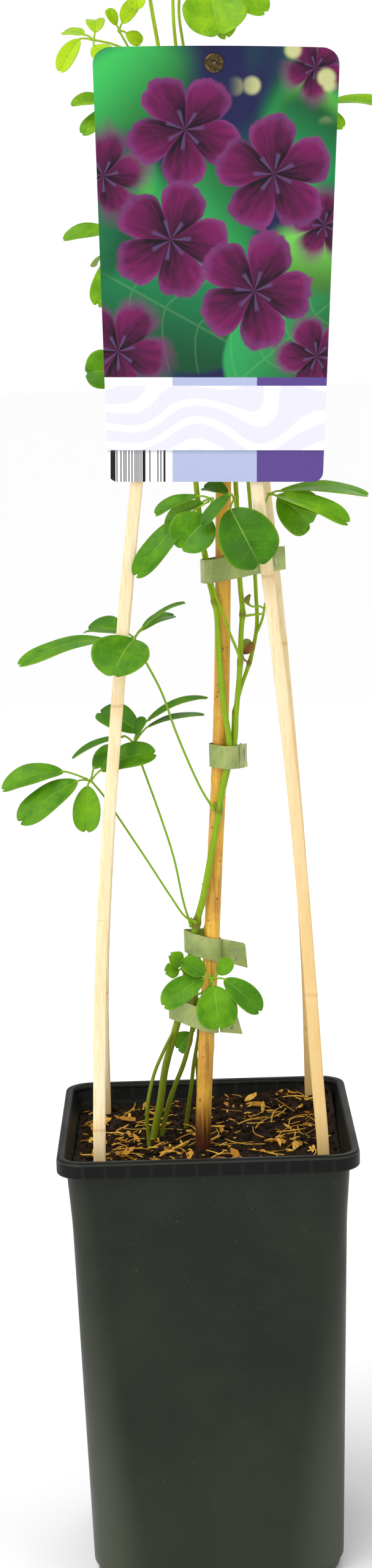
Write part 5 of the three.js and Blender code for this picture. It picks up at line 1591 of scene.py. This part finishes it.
def add_buds(bm, stem):
    """A small pointed bud in each corner between the stem and a leaf's long stalk."""
    knot = bm.verts.layers.float["knot"]
    up = Vector((0, 0, 1))
    for entry in LEAVES.values():
        if entry["on"] is not stem:
            continue
        foot, level = leaf_foot(entry, 0.1)
        size = 0.55 + 0.35 * stem_radius(stem, entry["z"])
        lean = up.rotation_difference(level * 0.35 + up).to_matrix().to_4x4()
        bud = bmesh.ops.create_icosphere(bm, subdivisions=2, radius=1)["verts"]
        for v in bud:
            slim = 1 - 0.55 * max(v.co.z, 0)
            v.co = Vector((v.co.x * slim, v.co.y * slim, v.co.z * 2.1))
            v[knot] = 0.8 - 0.4 * max(v.co.z / 2.1, 0)
        seat = Matrix.Translation(mm(foot + up * 1.9 * size)) @ lean @ Matrix.Scale(size * MM, 4)
        bmesh.ops.transform(bm, matrix=seat, verts=bud)


def add_curled_bud(bm):
    """A thin curl that swells near its tip, where it is brown."""
    line = bend_through([mm(p) for p in CURLED_BUD], 6)
    swells = [math.exp(-(((share - 0.82) / 0.13) ** 2)) for share in shares_along(line)]
    knot = bm.verts.layers.float["knot"]
    for v in sweep(bm, line, [(0.42 + 0.95 * swell) * MM for swell in swells], 8):
        v[knot] = min(1, max(0, (v.co.z / MM - 427.8) / 1.6))


# %% Stems with their joints
SHOOTS = {
    "main_stem": [(MAIN_BRANCH_THIN, 0.7, 0.5), (SHOOT_FRONT, 0.9, 0.7), (TWIG_ON_BRANCH, 0.6, 0.45)],
    "second_stem": [(SHOOT_BEHIND, 0.8, 0.6), (TWIG_ON_SECOND, 0.7, 0.5)],
    "third_stem": [(THIRD_SHOOT, 0.8, 0.6)],
}
BARE_JOINTS = {
    "main_stem": [(MAIN, [361, 393.4, 430]), (BRANCH, [403, 424])],
    "second_stem": [(SECOND, [381])],
    "third_stem": [(THIRD, [])],
}
for name, shoots in SHOOTS.items():
    bm = bmesh.new()
    for stem, bare_joints in BARE_JOINTS[name]:
        add_stem(bm, *stem, [*joints_on(stem), *bare_joints])
    for shoot in shoots:
        add_stem(bm, *shoot, sides=8)
    if name == "main_stem":
        add_curled_bud(bm)
    for stem, _ in BARE_JOINTS[name]:
        add_buds(bm, stem)
    add_piece(name + "_fine", bm, [bark], "vine_stem", [name])

# %% Dry bract
dry, bench = new_finish("dry leaf", 0.8)
where = bench.place()
cloud = bench.group("mottling", where, 400)
withered = bench.blend(cloud, (84, 50, 20), (158, 108, 44))
still_green = (bench.axes(bench.map("blade"))[0] + cloud * 0.5).ease(-0.3, 0.3)
bench.give("Base Color", bench.blend(still_green, (112, 140, 34), withered))
bench.give("Normal", bench.bump(bench.noise(where, 900), 0.0005, 0.8))
print(bench)
add_compound_leaf("dry_bract", DRY_BRACT, "dry_leaf", [dry, dry, dry])
